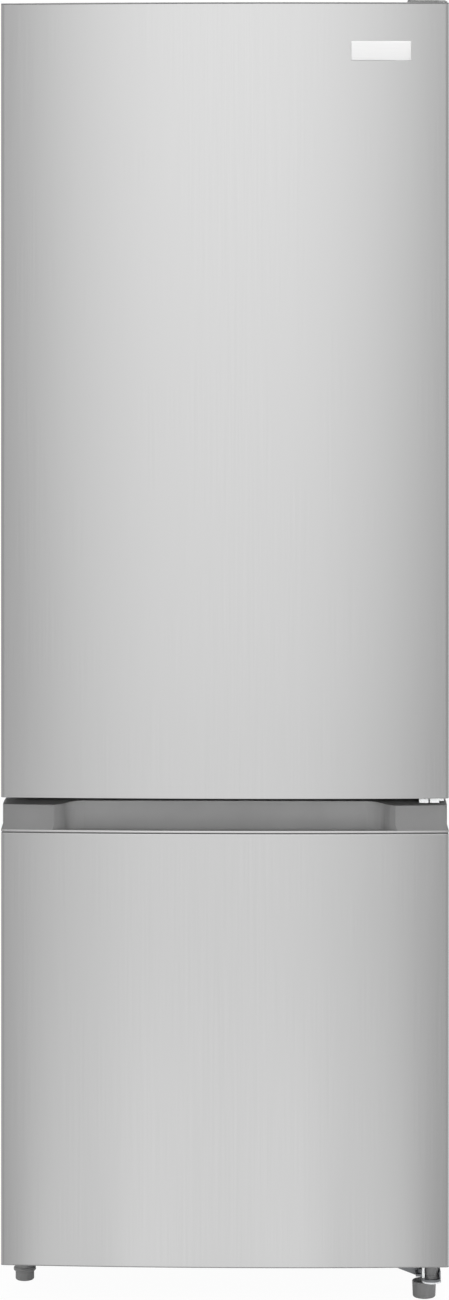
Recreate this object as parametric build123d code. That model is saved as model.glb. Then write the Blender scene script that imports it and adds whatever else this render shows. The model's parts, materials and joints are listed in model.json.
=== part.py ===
from build123d import *
import math
import os

# Two-door refrigerator with the freezer below. Millimetres, +Z up, doors towards -Y, hinges on +X.
# The origin is on the floor, under the middle of the overall box.

# Overall sizes
WIDTH = 596.5
DEPTH = 660.0
CABINET_BOTTOM = 46.0
CABINET_INSET = 1.5
SHEET = 1.0
FOAM_GAP = 3.0
# How far a cutting block runs past the face it opens
OVERCUT = 1.0

# Doors
DOOR_BOW = 9.0
DOOR_EDGE_DEPTH = 53.0
DOOR_CORNER = 4.0
LOWER_DOOR_BOTTOM = 53.2
LOWER_DOOR_HEIGHT = 616.0
DOOR_GAP = 7.2
UPPER_DOOR_HEIGHT = 1058.1
DOOR_ABOVE_CABINET = 4.5
SKIN = 1.0
DOOR_LINER = 2.0
DOOR_LINER_INSET = 3.0
END_CAP_RIM = 1.5
BOTTOM_CAP_EDGE = 0.8
END_CAP_PLATE = 2.5
END_CAP_WALL = 2.0
END_CAP_SKIRT = 14.0
DYKE_WIDTH = 26.0
DYKE_GAP = 8.0
DYKE_ROUND = 5.0
FRESH_DYKE_DEPTH = 30.0
FREEZER_DYKE_DEPTH = 22.0

# Gaskets
GASKET_GAP = 12.0
GASKET_WIDTH = 14.0
GASKET_BASE = 4.0
GASKET_STEP = 2.0
GASKET_EDGE = 5.0
GASKET_TOP_EDGE = 20.0
GASKET_BOTTOM_EDGE = 30.0
GASKET_AXIS_GAP = 1.0
GASKET_CLEARANCE = 0.3

# Hinge axis and hinge parts
HINGE_FROM_SIDE = 22.25
HINGE_FROM_CROWN = 35.0
PIN_RADIUS = 4.0
PIN_LENGTH = 20.0
PIN_FIT = 0.06
PIN_END_GAP = 2.0
BOSS_RADIUS = 10.0
HINGE_PLATE = 3.0
HINGE_CLEARANCE = 1.5

# Grip pocket in the top cap of the lower door
GRIP_CAP_HEIGHT = 39.6
GRIP_CAP_BAND = 4.0
GRIP_CAP_FLARE = 8.0
GRIP_CAP_RECESS = 2.0
GRIP_CAP_SIDE_INSET = 2.4
GRIP_CAP_WALL = 2.5
GRIP_CAP_TOP_FALL = 2.3
GRIP_CAP_GROOVE = 1.3
GRIP_CAP_GROOVE_DEPTH = 2.0
POCKET_FROM_SIDE = 74.25
POCKET_END_SLOPE = 23.0
POCKET_MOUTH_FLARE = 8.0
POCKET_MOUTH_RUN = 5.0
POCKET_DEPTH = 34.0
POCKET_LIP_HEIGHT = 4.1
POCKET_LIP_DEPTH = 6.0
POCKET_CHANNEL = 12.0
POCKET_ROUND = 24.0

# Finger groove under the upper door
GROOVE_FROM_CROWN = 12.0
GROOVE_WIDTH = 20.0
GROOVE_HEIGHT = 10.0

# Badge plate, left blank
BADGE_WIDTH = 80.0
BADGE_HEIGHT = 26.0
BADGE_THICKNESS = 1.6
BADGE_FROM_SIDE = 90.25
BADGE_BELOW_TOP = 64.5
BADGE_BEVEL = 0.6

# Compartments
FRESH_SIDE_WALL = 55.0
FRESH_FLOOR_RISE = 25.6
FRESH_TOP_WALL = 58.0
FRESH_BACK_WALL = 68.0
FREEZER_SIDE_WALL = 62.0
FREEZER_BOTTOM_WALL = 66.0
FREEZER_CEILING_DROP = 47.2
FREEZER_BACK_WALL = 115.0
FREEZER_STEP_FROM_BACK = 260.0
FREEZER_STEP_WALL = 45.0
CABINET_LINER = 2.5
LINER_FLANGE = 2.0
FRESH_CORNER = 14.0
FRONT_RETURN = 41.0
REAR_RETURN = 15.0
LINER_LIP = 11.0
MULLION_RETURN = 10.0
BACK_BEAD = 3.0
BACK_BEAD_WIDTH = 70.0
BACK_BEAD_PITCH = 150.0
BACK_BEAD_MARGIN = 90.0

# Shelves, rails and drawers
BIN_DEPTH = 105.0
BIN_BACK_GAP = 3.0
BIN_WALL = 2.5
BIN_ROUND = 18.0
BIN_LUG = 8.0
BIN_LUG_HEIGHT = 12.0
BIN_SIDE_GAP = 2.0
BIN_EAR_GAP = 0.5
BIN_EAR_LENGTH = 15.0
BIN_LUG_FROM_BACK = 6.0
BIN_RISES = {"upper": 698.0, "middle": 383.0, "lower": 43.0}
BIN_HEIGHTS = {"upper": 85.0, "middle": 100.0, "lower": 135.0}
SHELF_TO_BIN = 20.0
SHELF_GLASS = 4.0
SHELF_SIDE_GAP = 4.0
SHELF_RISES = {"upper": 768.0, "middle": 578.0, "lower": 388.0}
CRISPER_COVER_RISE = 196.0
RAIL_WIDTH = 9.0
RAIL_HEIGHT = 6.0
TRIM_DEPTH = 12.0
TRIM_HEIGHT = 13.0
TRIM_SIDE_GAP = 6.0
CRISPER_SIDE_GAP = 14.0
CRISPER_SETBACK = 10.0
CRISPER_TOP_GAP = 14.0
TUB_WALL = 2.5
TUB_FRONT = 4.0
TUB_ROUND = 14.0
TUB_FLOOR_GAP = 0.6
PULL_HALF = 90.0
PULL_DEPTH = 9.0
PULL_HEIGHT = 10.0
DRAWER_SIDE_GAP = 9.0
DRAWER_SETBACK = 36.0
DRAWER_REAR_GAP = 8.0
DRAWER_GAP = 8.0
DRAWER_RISES = {"lower": 0.0, "middle": 226.0, "upper": 368.0}

# Air path and cooling inside the freezer
DUCT_PANEL = 3.0
DUCT_DEPTH = 52.0
DUCT_MARGIN = 2.0
FAN_RADIUS = 36.0
FAN_HUB_RADIUS = 12.0
FAN_BLADES = 5
FAN_SHAFT = 2.0
FAN_HOLE_GAP = 4.0
FAN_BELOW_CEILING = 52.0
FAN_BEHIND_PANEL = 4.0
FAN_LENGTH = 14.0
BLADE = 1.5
BLADE_PITCH = 35.0
FAN_MOTOR_RADIUS = 18.0
FIN_COUNT = 18
FIN_THICKNESS = 1.0
FIN_DEPTH = 36.0
EVAPORATOR_SIDE_GAP = 50.5
EVAPORATOR_FAN_GAP = 20.0
EVAPORATOR_ROW_PITCH = 36.0
EVAPORATOR_TUBE = 4.0
EVAPORATOR_FROM_STEP = 20.0
FRESH_DUCT_HALF = 75.0
FRESH_DUCT_DEPTH = 18.0
FRESH_DUCT_WALL = 2.5
FRESH_DUCT_RISE = 228.0
FRESH_DUCT_TOP_GAP = 20.0
CONDENSER_TUBE = 2.4
CONDENSER_RUNS = 6
CONDENSER_PITCH = 84.0
CONDENSER_SLOT = 6.0
CONDENSER_ABOVE_NICHE = 75.0
CONDENSER_BELOW_TOP = 140.0

# Lamp and temperature control under the ceiling
CONTROL_HALF = 112.0
CONTROL_LENGTH = 140.0
CONTROL_HEIGHT = 27.0
CONTROL_FROM_FRONT = 130.0
CONTROL_WALL = 2.5
LENS_HALF = 48.0
LENS_LENGTH = 90.0
LENS_HEIGHT = 4.0
KNOB_RADIUS = 16.0
KNOB_HEIGHT = 14.0
KNOB_X = 80.0
KNOB_SHAFT = 4.0
KNOB_GAP = 0.4

# Compressor niche
NICHE_DEPTH = 205.0
NICHE_TOP = 285.0
PAN_SHEET = 1.2
BASE_PLATE = 2.0
BASE_GAP = 2.0
BASE_FLANGE = 28.0
COMPRESSOR_X = -110.0
COMPRESSOR_FROM_BACK = 98.0
COMPRESSOR_RADIUS = 80.0
COMPRESSOR_ROUND = 30.0
COMPRESSOR_FOOT_Z = 64.0
COMPRESSOR_BOTTOM = 74.0
COMPRESSOR_TOP = 200.0
SEAM_WIDTH = 4.0
SEAM_HEIGHT = 6.0
FOOT_PLATE = 3.0
FOOT_PLATE_LENGTH = 200.0
FOOT_PLATE_WIDTH = 124.0
GROMMET_RADIUS = 12.0
GROMMET_INSET = 16.0
DRIP_PAN_HEIGHT = 32.0
DRIP_PAN_WALL = 2.5
DISCHARGE_TUBE = 3.2
SUCTION_TUBE = 4.0
CAPILLARY_TUBE = 1.5
DRIER_RADIUS = 9.0
GLAND_FROM_SIDE = 72.5
GLAND_RADIUS = 11.0
GLAND_NECK = 8.0
GLAND_BORE = 4.0

# Feet and rollers
RIGHT_FOOT_RADIUS = 16.0
RIGHT_FOOT_TAPER = 0.8
RIGHT_FOOT_HEIGHT = 22.0
RIGHT_FOOT_FROM_SIDE = 30.95
RIGHT_FOOT_FROM_CROWN = 61.0
LEFT_FOOT_RADIUS = 12.7
LEFT_FOOT_FLANGE = 15.2
LEFT_FOOT_PAD = 12.5
LEFT_FOOT_FLANGE_HEIGHT = 5.5
LEFT_FOOT_FROM_SIDE = 22.05
LEFT_FOOT_FROM_CROWN = 134.0
FOOT_STEM = 5.0
FOOT_ROUND = 2.5
FOOT_TOP_ROUND = 1.25
FOOT_STEM_FIT = 0.06
FOOT_NUT_RADIUS = 8.5
ROLLER_RADIUS = 17.0
ROLLER_WIDTH = 22.0
ROLLER_FROM_SIDE = 35.0
ROLLER_FROM_BACK = 32.0
ROLLER_AXLE = 4.0
ROLLER_FIT = 0.05
ROLLER_SIDE_GAP = 1.0
EAR = 2.0
EAR_HALF_WIDTH = 12.0
EAR_BELOW_AXLE = 8.0

# Hinge plates
BRACKET_PLATE_Z = 29.5
BRACKET_TONGUE_WIDTH = 24.0
BRACKET_TONGUE_TIP = 21.0
BRACKET_FLANGE_TOP = 80.0
BRACKET_FLANGE_BOTTOM = 26.0
BRACKET_FLANGE_RISE = 12.0
BRACKET_FLANGE_WIDTH = 64.0
BRACKET_RIM = 1.5
BRACKET_RIM_HEIGHT = 2.0
BRACKET_CHEEK = 2.0
BRACKET_CHEEK_HEIGHT = 10.0
CAM_RADIUS = 9.0
CAM_GAP = 3.0
MIDDLE_PLATE = 3.5
MIDDLE_FLANGE_WIDTH = 69.5
MIDDLE_FLANGE_HEIGHT = 13.0
MIDDLE_TIP = 15.0
MIDDLE_TIP_LENGTH = 15.0
MIDDLE_TIP_WIDTH = 18.0
MIDDLE_TIP_FOOT = 12.0
MIDDLE_TIP_FROM_SIDE = 6.75
MIDDLE_STOP_WIDTH = 12.0
MIDDLE_STOP_GAP = 2.5
MIDDLE_DOOR_GAP = 0.7
TOP_ARM_HALF = 13.0
TOP_BASE_WIDTH = 38.0
TOP_BASE_LENGTH = 84.0
TOP_BASE_EDGE = 8.0
COVER_HEIGHT = 16.5
COVER_POST_GAP = 1.0
COVER_WALL = 1.6
COVER_LEFT = 51.75
COVER_RIGHT = 2.0
COVER_FRONT_GAP = 24.0
COVER_FRONT_LIP = 1.2
COVER_FRONT_RUN = 14.0
COVER_GROOVE = 0.8
COVER_GROOVE_DEPTH = 2.2
COVER_END = 6.0
COVER_REAR_GAP = 8.0
COVER_SLOPE = 11.5
COVER_SLOPE_DROP = 11.0
SCREW_HEAD = 4.5
SCREW_HEAD_HEIGHT = 2.4
SCREW_SHANK = 2.0
SCREW_HOLE = 2.4

# Placements worked out from the sizes above
half_width = WIDTH / 2
crown_y = -DEPTH / 2
door_edge_y = crown_y + DOOR_BOW
door_back_y = door_edge_y + DOOR_EDGE_DEPTH
liner_front_y = door_back_y - DOOR_LINER
front_y = door_back_y + GASKET_GAP
back_y = DEPTH / 2
door_radius = (half_width**2 + DOOR_BOW**2) / (2 * DOOR_BOW)
door_centre_y = crown_y + door_radius
lower_door_top = LOWER_DOOR_BOTTOM + LOWER_DOOR_HEIGHT
upper_door_bottom = lower_door_top + DOOR_GAP
upper_door_top = upper_door_bottom + UPPER_DOOR_HEIGHT
cabinet_top = upper_door_top - DOOR_ABOVE_CABINET
cover_top = cabinet_top + COVER_HEIGHT
hinge_x = half_width - HINGE_FROM_SIDE
hinge_y = crown_y + HINGE_FROM_CROWN
side_x = half_width - CABINET_INSET
inner_side_x = side_x - SHEET
return_x = side_x - FRONT_RETURN
panel_back_y = back_y - BACK_BEAD
panel_front_y = panel_back_y - SHEET
return_back_y = panel_front_y - SHEET
fresh_back_y = back_y - FRESH_BACK_WALL
freezer_back_y = back_y - FREEZER_BACK_WALL
step_y = back_y - FREEZER_STEP_FROM_BACK
niche_y = back_y - NICHE_DEPTH
step_top = NICHE_TOP + FREEZER_STEP_WALL
fresh_half = half_width - FRESH_SIDE_WALL
fresh_floor = upper_door_bottom + FRESH_FLOOR_RISE
fresh_ceiling = cabinet_top - FRESH_TOP_WALL
freezer_half = half_width - FREEZER_SIDE_WALL
freezer_floor = CABINET_BOTTOM + FREEZER_BOTTOM_WALL
freezer_ceiling = lower_door_top - FREEZER_CEILING_DROP
bin_floors = {name: fresh_floor + rise for name, rise in BIN_RISES.items()}
shelf_levels = {name: fresh_floor + rise for name, rise in SHELF_RISES.items()}
crisper_cover_level = fresh_floor + CRISPER_COVER_RISE
drawer_floors = {name: freezer_floor + rise for name, rise in DRAWER_RISES.items()}
fresh_duct_bottom = fresh_floor + FRESH_DUCT_RISE
condenser_bottom = NICHE_TOP + CONDENSER_ABOVE_NICHE
condenser_top = cabinet_top - CONDENSER_BELOW_TOP
gland_x = half_width - GLAND_FROM_SIDE
badge_x = half_width - BADGE_FROM_SIDE
pocket_mouth_half = half_width - POCKET_FROM_SIDE
pocket_back_half = pocket_mouth_half - POCKET_END_SLOPE
evaporator_half = freezer_half - EVAPORATOR_SIDE_GAP
evaporator_z = step_top + EVAPORATOR_FROM_STEP
gasket_x = hinge_x - GASKET_AXIS_GAP
dyke_x = fresh_half - DYKE_GAP
bin_wall_x = dyke_x - DYKE_WIDTH
bin_x = bin_wall_x - BIN_LUG - BIN_SIDE_GAP
bin_rear_y = door_back_y + BIN_BACK_GAP + BIN_DEPTH
shelf_front_y = bin_rear_y + SHELF_TO_BIN
shelf_back_y = fresh_back_y - FRESH_DUCT_DEPTH - SHELF_SIDE_GAP
duct_y = freezer_back_y - DUCT_DEPTH
cap_base_z = lower_door_top - GRIP_CAP_HEIGHT
lip_top_z = cap_base_z + POCKET_LIP_HEIGHT
pocket_y = crown_y + POCKET_DEPTH
compressor_y = back_y - COMPRESSOR_FROM_BACK
right_foot = (half_width - RIGHT_FOOT_FROM_SIDE, crown_y + RIGHT_FOOT_FROM_CROWN)
left_foot = (LEFT_FOOT_FROM_SIDE - half_width, crown_y + LEFT_FOOT_FROM_CROWN)
roller_x = half_width - ROLLER_FROM_SIDE
roller_y = back_y - ROLLER_FROM_BACK
bracket_top_z = BRACKET_PLATE_Z + HINGE_PLATE
middle_plate_z = (lower_door_top + upper_door_bottom - MIDDLE_PLATE) / 2
top_arm_z = upper_door_top + HINGE_CLEARANCE
fan_z = freezer_ceiling - FAN_BELOW_CEILING
fan_y = duct_y + DUCT_PANEL + FAN_BEHIND_PANEL
evaporator_top = fan_z - FAN_RADIUS - EVAPORATOR_FAN_GAP
evaporator_rows = math.floor((evaporator_top - evaporator_z) / EVAPORATOR_ROW_PITCH) + 1
base_top_z = CABINET_BOTTOM + BASE_PLATE
control_z = fresh_ceiling - CONTROL_HEIGHT
control_y = front_y + CONTROL_FROM_FRONT + CONTROL_LENGTH / 2


def block(x0, x1, y0, y1, z0, z1):
    """A box from its lowest to its highest corner."""
    return Pos(x0, y0, z0) * Box(x1 - x0, y1 - y0, z1 - z0, align=(Align.MIN, Align.MIN, Align.MIN))


def wide(x, y0, y1, z0, z1):
    """A box that is centred on the middle plane."""
    return block(-x, x, y0, y1, z0, z1)


def post(radius, x, y, z0, z1):
    """An upright cylinder."""
    return Pos(x, y, z0) * Cylinder(radius, z1 - z0, align=(Align.CENTER, Align.CENTER, Align.MIN))


def rod_x(radius, x0, x1, y, z):
    """A cylinder along X."""
    along = Pos(x0, y, z) * Rot(0, 90, 0)
    return along * Cylinder(radius, x1 - x0, align=(Align.CENTER, Align.CENTER, Align.MIN))


def rod_y(radius, y0, y1, x, z):
    """A cylinder along Y."""
    along = Pos(x, y0, z) * Rot(-90, 0, 0)
    return along * Cylinder(radius, y1 - y0, align=(Align.CENTER, Align.CENTER, Align.MIN))


def prism(face, z0, z1):
    """A plan outline raised from one height to another."""
    return Pos(0, 0, z0) * extrude(face, amount=z1 - z0, dir=(0, 0, 1))


def bent(points, x0, x1):
    """A side outline of (y, z) points, carried across the width."""
    outline = Polyline(*[(x0, y, z) for y, z in points], close=True)
    return extrude(make_face(outline), amount=x1 - x0, dir=(1, 0, 0))


def ring(x, z0, z1, member, y0, y1):
    """A rectangular frame that stands in the XZ plane."""
    return wide(x, y0, y1, z0, z1) - wide(x - member, y0, y1, z0 + member, z1 - member)


def both(part):
    """A right-hand piece with its mirror image, as a group of two solids."""
    return part + mirror(part, about=Plane.YZ)


def tube(points, radius, bend):
    """A bent tube along straight runs."""
    path = FilletPolyline(*points, radius=bend)
    return sweep((path ^ 0) * Circle(radius), path=path)


def door_plan(front_inset, side_inset, rear_y, corner):
    """The door's plan outline: a bowed front, straight sides and a straight back."""
    x = half_width - side_inset
    y = door_centre_y - math.sqrt((door_radius - front_inset) ** 2 - x**2)
    front = ThreePointArc((-x, y), (0, crown_y + front_inset), (x, y))
    rest = Polyline((x, y), (x, rear_y), (-x, rear_y), (-x, y))
    face = make_face(front + rest)
    return fillet(face.vertices().sort_by(Axis.Y)[:2], corner)


def rounded_room(x, y0, y1, z0, z1, radius):
    """A room that is open at the front, with rounded corners."""
    room = wide(x, y0, y1, z0, z1)
    edges = room.edges().filter_by(Axis.Y) + room.faces().sort_by(Axis.Y)[-1].edges()
    return fillet(edges, radius)


def tub(x, y0, y1, z0, z1):
    """An open-topped moulded drawer with a thicker front."""
    shell = fillet(wide(x, y0, y1, z0, z1).edges().filter_by(Axis.Z), TUB_ROUND)
    room = wide(x - TUB_WALL, y0 + TUB_FRONT, y1 - TUB_WALL, z0 + TUB_WALL, z1 + OVERCUT)
    return shell - fillet(room.edges().filter_by(Axis.Z), TUB_ROUND - TUB_WALL)


def drawer(x, y0, y1, z0, z1):
    """A tub with a pull along the top of its front."""
    pull_z = z1 - PULL_HEIGHT
    pull = wide(PULL_HALF, y0 - PULL_DEPTH, y0 + TUB_FRONT / 2, pull_z, z1)
    room_y = y0 - PULL_DEPTH + TUB_WALL
    finger_room = wide(PULL_HALF - TUB_WALL, room_y, y0, pull_z - OVERCUT, z1 - TUB_WALL)
    return tub(x, y0, y1, z0, z1) + (pull - finger_room)


# Cabinet


def side_panel():
    """The right side panel, with its front and rear returns."""
    wall = block(inner_side_x, side_x, front_y, panel_front_y, CABINET_BOTTOM, cabinet_top)
    top = cabinet_top - SHEET
    front = block(return_x, side_x, front_y, front_y + SHEET, CABINET_BOTTOM, top)
    rear = block(side_x - REAR_RETURN, side_x, return_back_y, panel_front_y, CABINET_BOTTOM, top)
    return wall + front + rear


def top_panel():
    """The top sheet between the side panels, with its front and rear returns."""
    sheet = wide(inner_side_x, front_y, panel_front_y, cabinet_top - SHEET, cabinet_top)
    front = wide(return_x, front_y, front_y + SHEET, fresh_ceiling + LINER_LIP, cabinet_top)
    rear_x = side_x - REAR_RETURN
    rear = wide(rear_x, return_back_y, panel_front_y, cabinet_top - REAR_RETURN, cabinet_top)
    return sheet + front + rear


def back_panel():
    """The back sheet, stiffened by pressed upright beads."""
    panel = wide(side_x, panel_front_y, panel_back_y, NICHE_TOP, cabinet_top)
    z0 = NICHE_TOP + BACK_BEAD_MARGIN
    z1 = cabinet_top - BACK_BEAD_MARGIN
    half = BACK_BEAD_WIDTH / 2
    for column in (-1, 0, 1):
        x = column * BACK_BEAD_PITCH
        bead = block(x - half, x + half, panel_front_y, back_y, z0, z1)
        inner = half - SHEET
        hollow = block(x - inner, x + inner, panel_front_y, back_y - SHEET, z0 + SHEET, z1 - SHEET)
        bead = fillet(bead.edges().filter_by(Axis.Y), half / 2)
        panel = panel + bead - fillet(hollow.edges().filter_by(Axis.Y), half / 2 - SHEET)
    return panel


def bottom_pan():
    """The bottom sheet: a front flange, the floor, and the wall and roof of the compressor niche."""
    top = CABINET_BOTTOM + PAN_SHEET
    floor = wide(inner_side_x, front_y + SHEET, niche_y, CABINET_BOTTOM, top)
    front = wide(return_x, front_y, front_y + SHEET, CABINET_BOTTOM, freezer_floor - LINER_LIP)
    wall = wide(inner_side_x, niche_y, niche_y + PAN_SHEET, CABINET_BOTTOM, NICHE_TOP)
    roof = wide(inner_side_x, niche_y, return_back_y, NICHE_TOP, NICHE_TOP + PAN_SHEET)
    socket = post(FOOT_NUT_RADIUS, *left_foot, CABINET_BOTTOM, foot_stem_top())
    bore = post(FOOT_STEM + FOOT_STEM_FIT, *left_foot, CABINET_BOTTOM, foot_stem_top())
    return floor + front + wall + roof + socket - bore


def foot_stem_top():
    """Where the left foot's stem ends, inside its socket."""
    return CABINET_BOTTOM + 3 * FOOT_STEM


def fresh_room(grow):
    """The fresh-food room, grown outwards by a wall."""
    return rounded_room(
        fresh_half + grow,
        front_y,
        fresh_back_y + grow,
        fresh_floor - grow,
        fresh_ceiling + grow,
        FRESH_CORNER + grow,
    )


def freezer_room(grow):
    """The freezer room, stepped up at the back over the compressor niche and grown by a wall."""
    points = [
        (front_y, freezer_floor - grow),
        (step_y + grow, freezer_floor - grow),
        (step_y + grow, step_top - grow),
        (freezer_back_y + grow, step_top - grow),
        (freezer_back_y + grow, freezer_ceiling + grow),
        (front_y, freezer_ceiling + grow),
    ]
    x = freezer_half + grow
    return bent(points, -x, x)


def rails(x, y0, y1, levels):
    """Ledges on both side walls, one pair under each level."""
    parts = []
    for level in levels:
        ledge = block(x - RAIL_WIDTH, x + CABINET_LINER / 2, y0, y1, level - RAIL_HEIGHT, level)
        parts += [ledge, mirror(ledge, about=Plane.YZ)]
    return parts


def fresh_food_liner():
    """The fresh-food liner: a moulded box with shelf rails and a front flange."""
    bottom = fresh_floor - LINER_LIP
    top = fresh_ceiling + LINER_LIP
    flange = wide(return_x, front_y, front_y + LINER_FLANGE, bottom, top)
    liner = fresh_room(CABINET_LINER) + flange - fresh_room(0)
    levels = [*shelf_levels.values(), crisper_cover_level]
    return liner + rails(fresh_half, shelf_front_y + TRIM_DEPTH, shelf_back_y - TRIM_DEPTH, levels)


def drawer_levels():
    """The heights of the freezer drawers' ledges, above the floor."""
    return [level for name, level in drawer_floors.items() if name != "lower"]


def freezer_liner():
    """The freezer liner, with drawer ledges and a front flange."""
    bottom = freezer_floor - LINER_LIP
    top = freezer_ceiling + LINER_LIP
    flange = wide(return_x, front_y, front_y + LINER_FLANGE, bottom, top)
    liner = freezer_room(CABINET_LINER) + flange - freezer_room(0)
    y0 = front_y + DRAWER_SETBACK + TUB_ROUND
    return liner + rails(freezer_half - DRAWER_SIDE_GAP / 2, y0, duct_y, drawer_levels()) + ledge_roots(y0)


def ledge_roots(y0):
    """The feet of the drawer ledges, from the ledge to the side wall."""
    parts = []
    for level in drawer_levels():
        x = freezer_half - DRAWER_SIDE_GAP / 2
        root = block(x, freezer_half + CABINET_LINER / 2, y0, duct_y, level - RAIL_HEIGHT, level)
        parts += [root, mirror(root, about=Plane.YZ)]
    return parts


def mullion_rail():
    """The steel channel between the two openings."""
    z0 = freezer_ceiling + LINER_LIP
    z1 = fresh_floor - LINER_LIP
    channel = wide(return_x, front_y, front_y + MULLION_RETURN, z0, z1)
    return channel - wide(return_x, front_y + SHEET, front_y + MULLION_RETURN, z0 + SHEET, z1 - SHEET)


def cabinet_foam():
    """The foam between the outer sheets and the liners, with slots for the condenser."""
    z0 = CABINET_BOTTOM + PAN_SHEET
    foam = wide(inner_side_x, front_y + FOAM_GAP, return_back_y, z0, cabinet_top - SHEET)
    niche = wide(side_x, niche_y, back_y, CABINET_BOTTOM, NICHE_TOP + PAN_SHEET)
    z2 = freezer_ceiling + LINER_LIP
    channel = wide(return_x, front_y, front_y + MULLION_RETURN, z2, fresh_floor - LINER_LIP)
    y0, y1 = condenser_span()
    slot_x = inner_side_x - CONDENSER_SLOT
    margin = CONDENSER_PITCH / 2
    slot = block(slot_x, side_x, y0 - margin, y1 + margin, condenser_bottom - margin, condenser_top + margin)
    socket = post(FOOT_NUT_RADIUS, *left_foot, CABINET_BOTTOM, foot_stem_top())
    foam = foam - fresh_room(CABINET_LINER) - freezer_room(CABINET_LINER) - niche - channel
    return foam - slot - mirror(slot, about=Plane.YZ) - socket


def condenser_span():
    """The first and last upright run of the condenser, along Y."""
    span = (CONDENSER_RUNS - 1) * CONDENSER_PITCH
    return -span / 2, span / 2


def condenser_coils():
    """A serpentine tube on the inside of each side panel."""
    x = inner_side_x - CONDENSER_TUBE
    y0 = condenser_span()[0]
    points = []
    for run in range(CONDENSER_RUNS):
        ends = [condenser_bottom, condenser_top]
        if run % 2:
            ends.reverse()
        points += [(x, y0 + run * CONDENSER_PITCH, z) for z in ends]
    return both(tube(points, CONDENSER_TUBE, CONDENSER_PITCH * 0.45))


# Hinges, hinge cover and screws


def screw(x, y, z, length):
    """A pan-head screw, head up, through a plate of the given thickness."""
    head = post(SCREW_HEAD, x, y, z, z + SCREW_HEAD_HEIGHT)
    head = fillet(head.edges().sort_by(Axis.Z)[-1], SCREW_HEAD_HEIGHT / 2)
    return head + post(SCREW_SHANK, x, y, z - length, z)


def front_screw(x, y, z, length):
    """A pan-head screw whose head faces the front."""
    return Pos(x, y, z) * Rot(90, 0, 0) * screw(0, 0, 0, length)


def top_base_x():
    """The two sides of the top hinge's base plate."""
    right = hinge_x + TOP_ARM_HALF
    return right - TOP_BASE_WIDTH, right


def top_screw_places():
    """The places of the three screws of the top hinge."""
    x0, x1 = top_base_x()
    y0 = front_y + TOP_BASE_EDGE
    pitch = (TOP_BASE_LENGTH - 2 * TOP_BASE_EDGE) / 2
    return [((x0 + x1) / 2, y0 + TOP_BASE_EDGE + i * pitch) for i in range(3)]


def top_hinge():
    """The joggled top hinge plate with its pin."""
    x0, x1 = top_base_x()
    arm_x = hinge_x - TOP_ARM_HALF
    y0 = front_y + TOP_BASE_EDGE
    base = block(x0, x1, y0, y0 + TOP_BASE_LENGTH, cabinet_top, cabinet_top + HINGE_PLATE)
    riser = block(arm_x, x1, y0, y0 + HINGE_PLATE, cabinet_top, top_arm_z + HINGE_PLATE)
    arm = block(arm_x, x1, hinge_y, y0 + HINGE_PLATE, top_arm_z, top_arm_z + HINGE_PLATE)
    arm += post(TOP_ARM_HALF, hinge_x, hinge_y, top_arm_z, top_arm_z + HINGE_PLATE)
    pin = post(PIN_RADIUS, hinge_x, hinge_y, upper_door_top - PIN_LENGTH, top_arm_z)
    plate = base + riser + arm + pin
    for x, y in top_screw_places():
        plate -= post(SCREW_HOLE, x, y, cabinet_top, cabinet_top + HINGE_PLATE)
    return plate


def cover_shell(inset):
    """The hinge cover's outer form, drawn in by a wall: a low cap that falls away to the right."""
    x0 = half_width - COVER_LEFT + inset
    x1 = half_width - COVER_RIGHT - inset
    y0 = hinge_y - COVER_FRONT_GAP + inset
    y1 = front_y + TOP_BASE_EDGE + TOP_BASE_LENGTH + COVER_REAR_GAP - inset
    top = cover_top - inset
    right = [(x1 - COVER_SLOPE, top), (x1, top - COVER_SLOPE_DROP), (x1, cabinet_top)]
    points = [(x0, cabinet_top), (x0, top), *right]
    outline = Polyline(*[(x, y0, z) for x, z in points], close=True)
    cap = extrude(make_face(outline), amount=y1 - y0, dir=(0, 1, 0))
    door_top = upper_door_top + HINGE_CLEARANCE / 2
    low = cabinet_top - OVERCUT
    lip = door_top + COVER_FRONT_LIP - inset
    high = top + OVERCUT
    front = [(y0 - OVERCUT, lip), (y0, lip), (y0 + COVER_FRONT_RUN, top), (y0 + COVER_FRONT_RUN, high)]
    slope = bent([*front, (y0 - OVERCUT, high)], half_width - COVER_LEFT + COVER_END - inset, x1 + OVERCUT)
    return cap - slope - block(x0 - OVERCUT, x1 + OVERCUT, y0 - OVERCUT, front_y - inset, low, door_top)


def top_hinge_cover():
    """The plastic cover over the top hinge, with a groove above its front lip."""
    front = front_y + COVER_WALL
    x0 = half_width - COVER_LEFT + COVER_WALL
    x1 = half_width - COVER_RIGHT - COVER_WALL
    cover = cover_shell(0) - cover_shell(COVER_WALL)
    arm_y = hinge_y - TOP_ARM_HALF - HINGE_CLEARANCE
    under_arm = block(x0, x1, arm_y, front, cabinet_top, top_arm_z + HINGE_PLATE)
    y0 = hinge_y - COVER_FRONT_GAP
    z0 = upper_door_top + HINGE_CLEARANCE / 2 + COVER_FRONT_LIP
    groove_x = half_width - COVER_LEFT + COVER_END
    groove_y = y0 + COVER_GROOVE_DEPTH
    groove_end = half_width - COVER_RIGHT - COVER_SLOPE
    groove = block(groove_x, groove_end, y0 - OVERCUT, groove_y, z0, z0 + COVER_GROOVE)
    post_y = front_y + TOP_BASE_EDGE - COVER_POST_GAP
    boss = block(x0, x0 + 2 * COVER_WALL, front_y, post_y, cabinet_top, cover_top)
    return cover - under_arm - groove + boss


def middle_screw_places():
    """The places of the two screws of the middle hinge."""
    x1 = hinge_x + TOP_ARM_HALF
    x0 = x1 - MIDDLE_FLANGE_WIDTH
    return [x0 + TOP_BASE_EDGE, x0 + 3 * TOP_BASE_EDGE]


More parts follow.
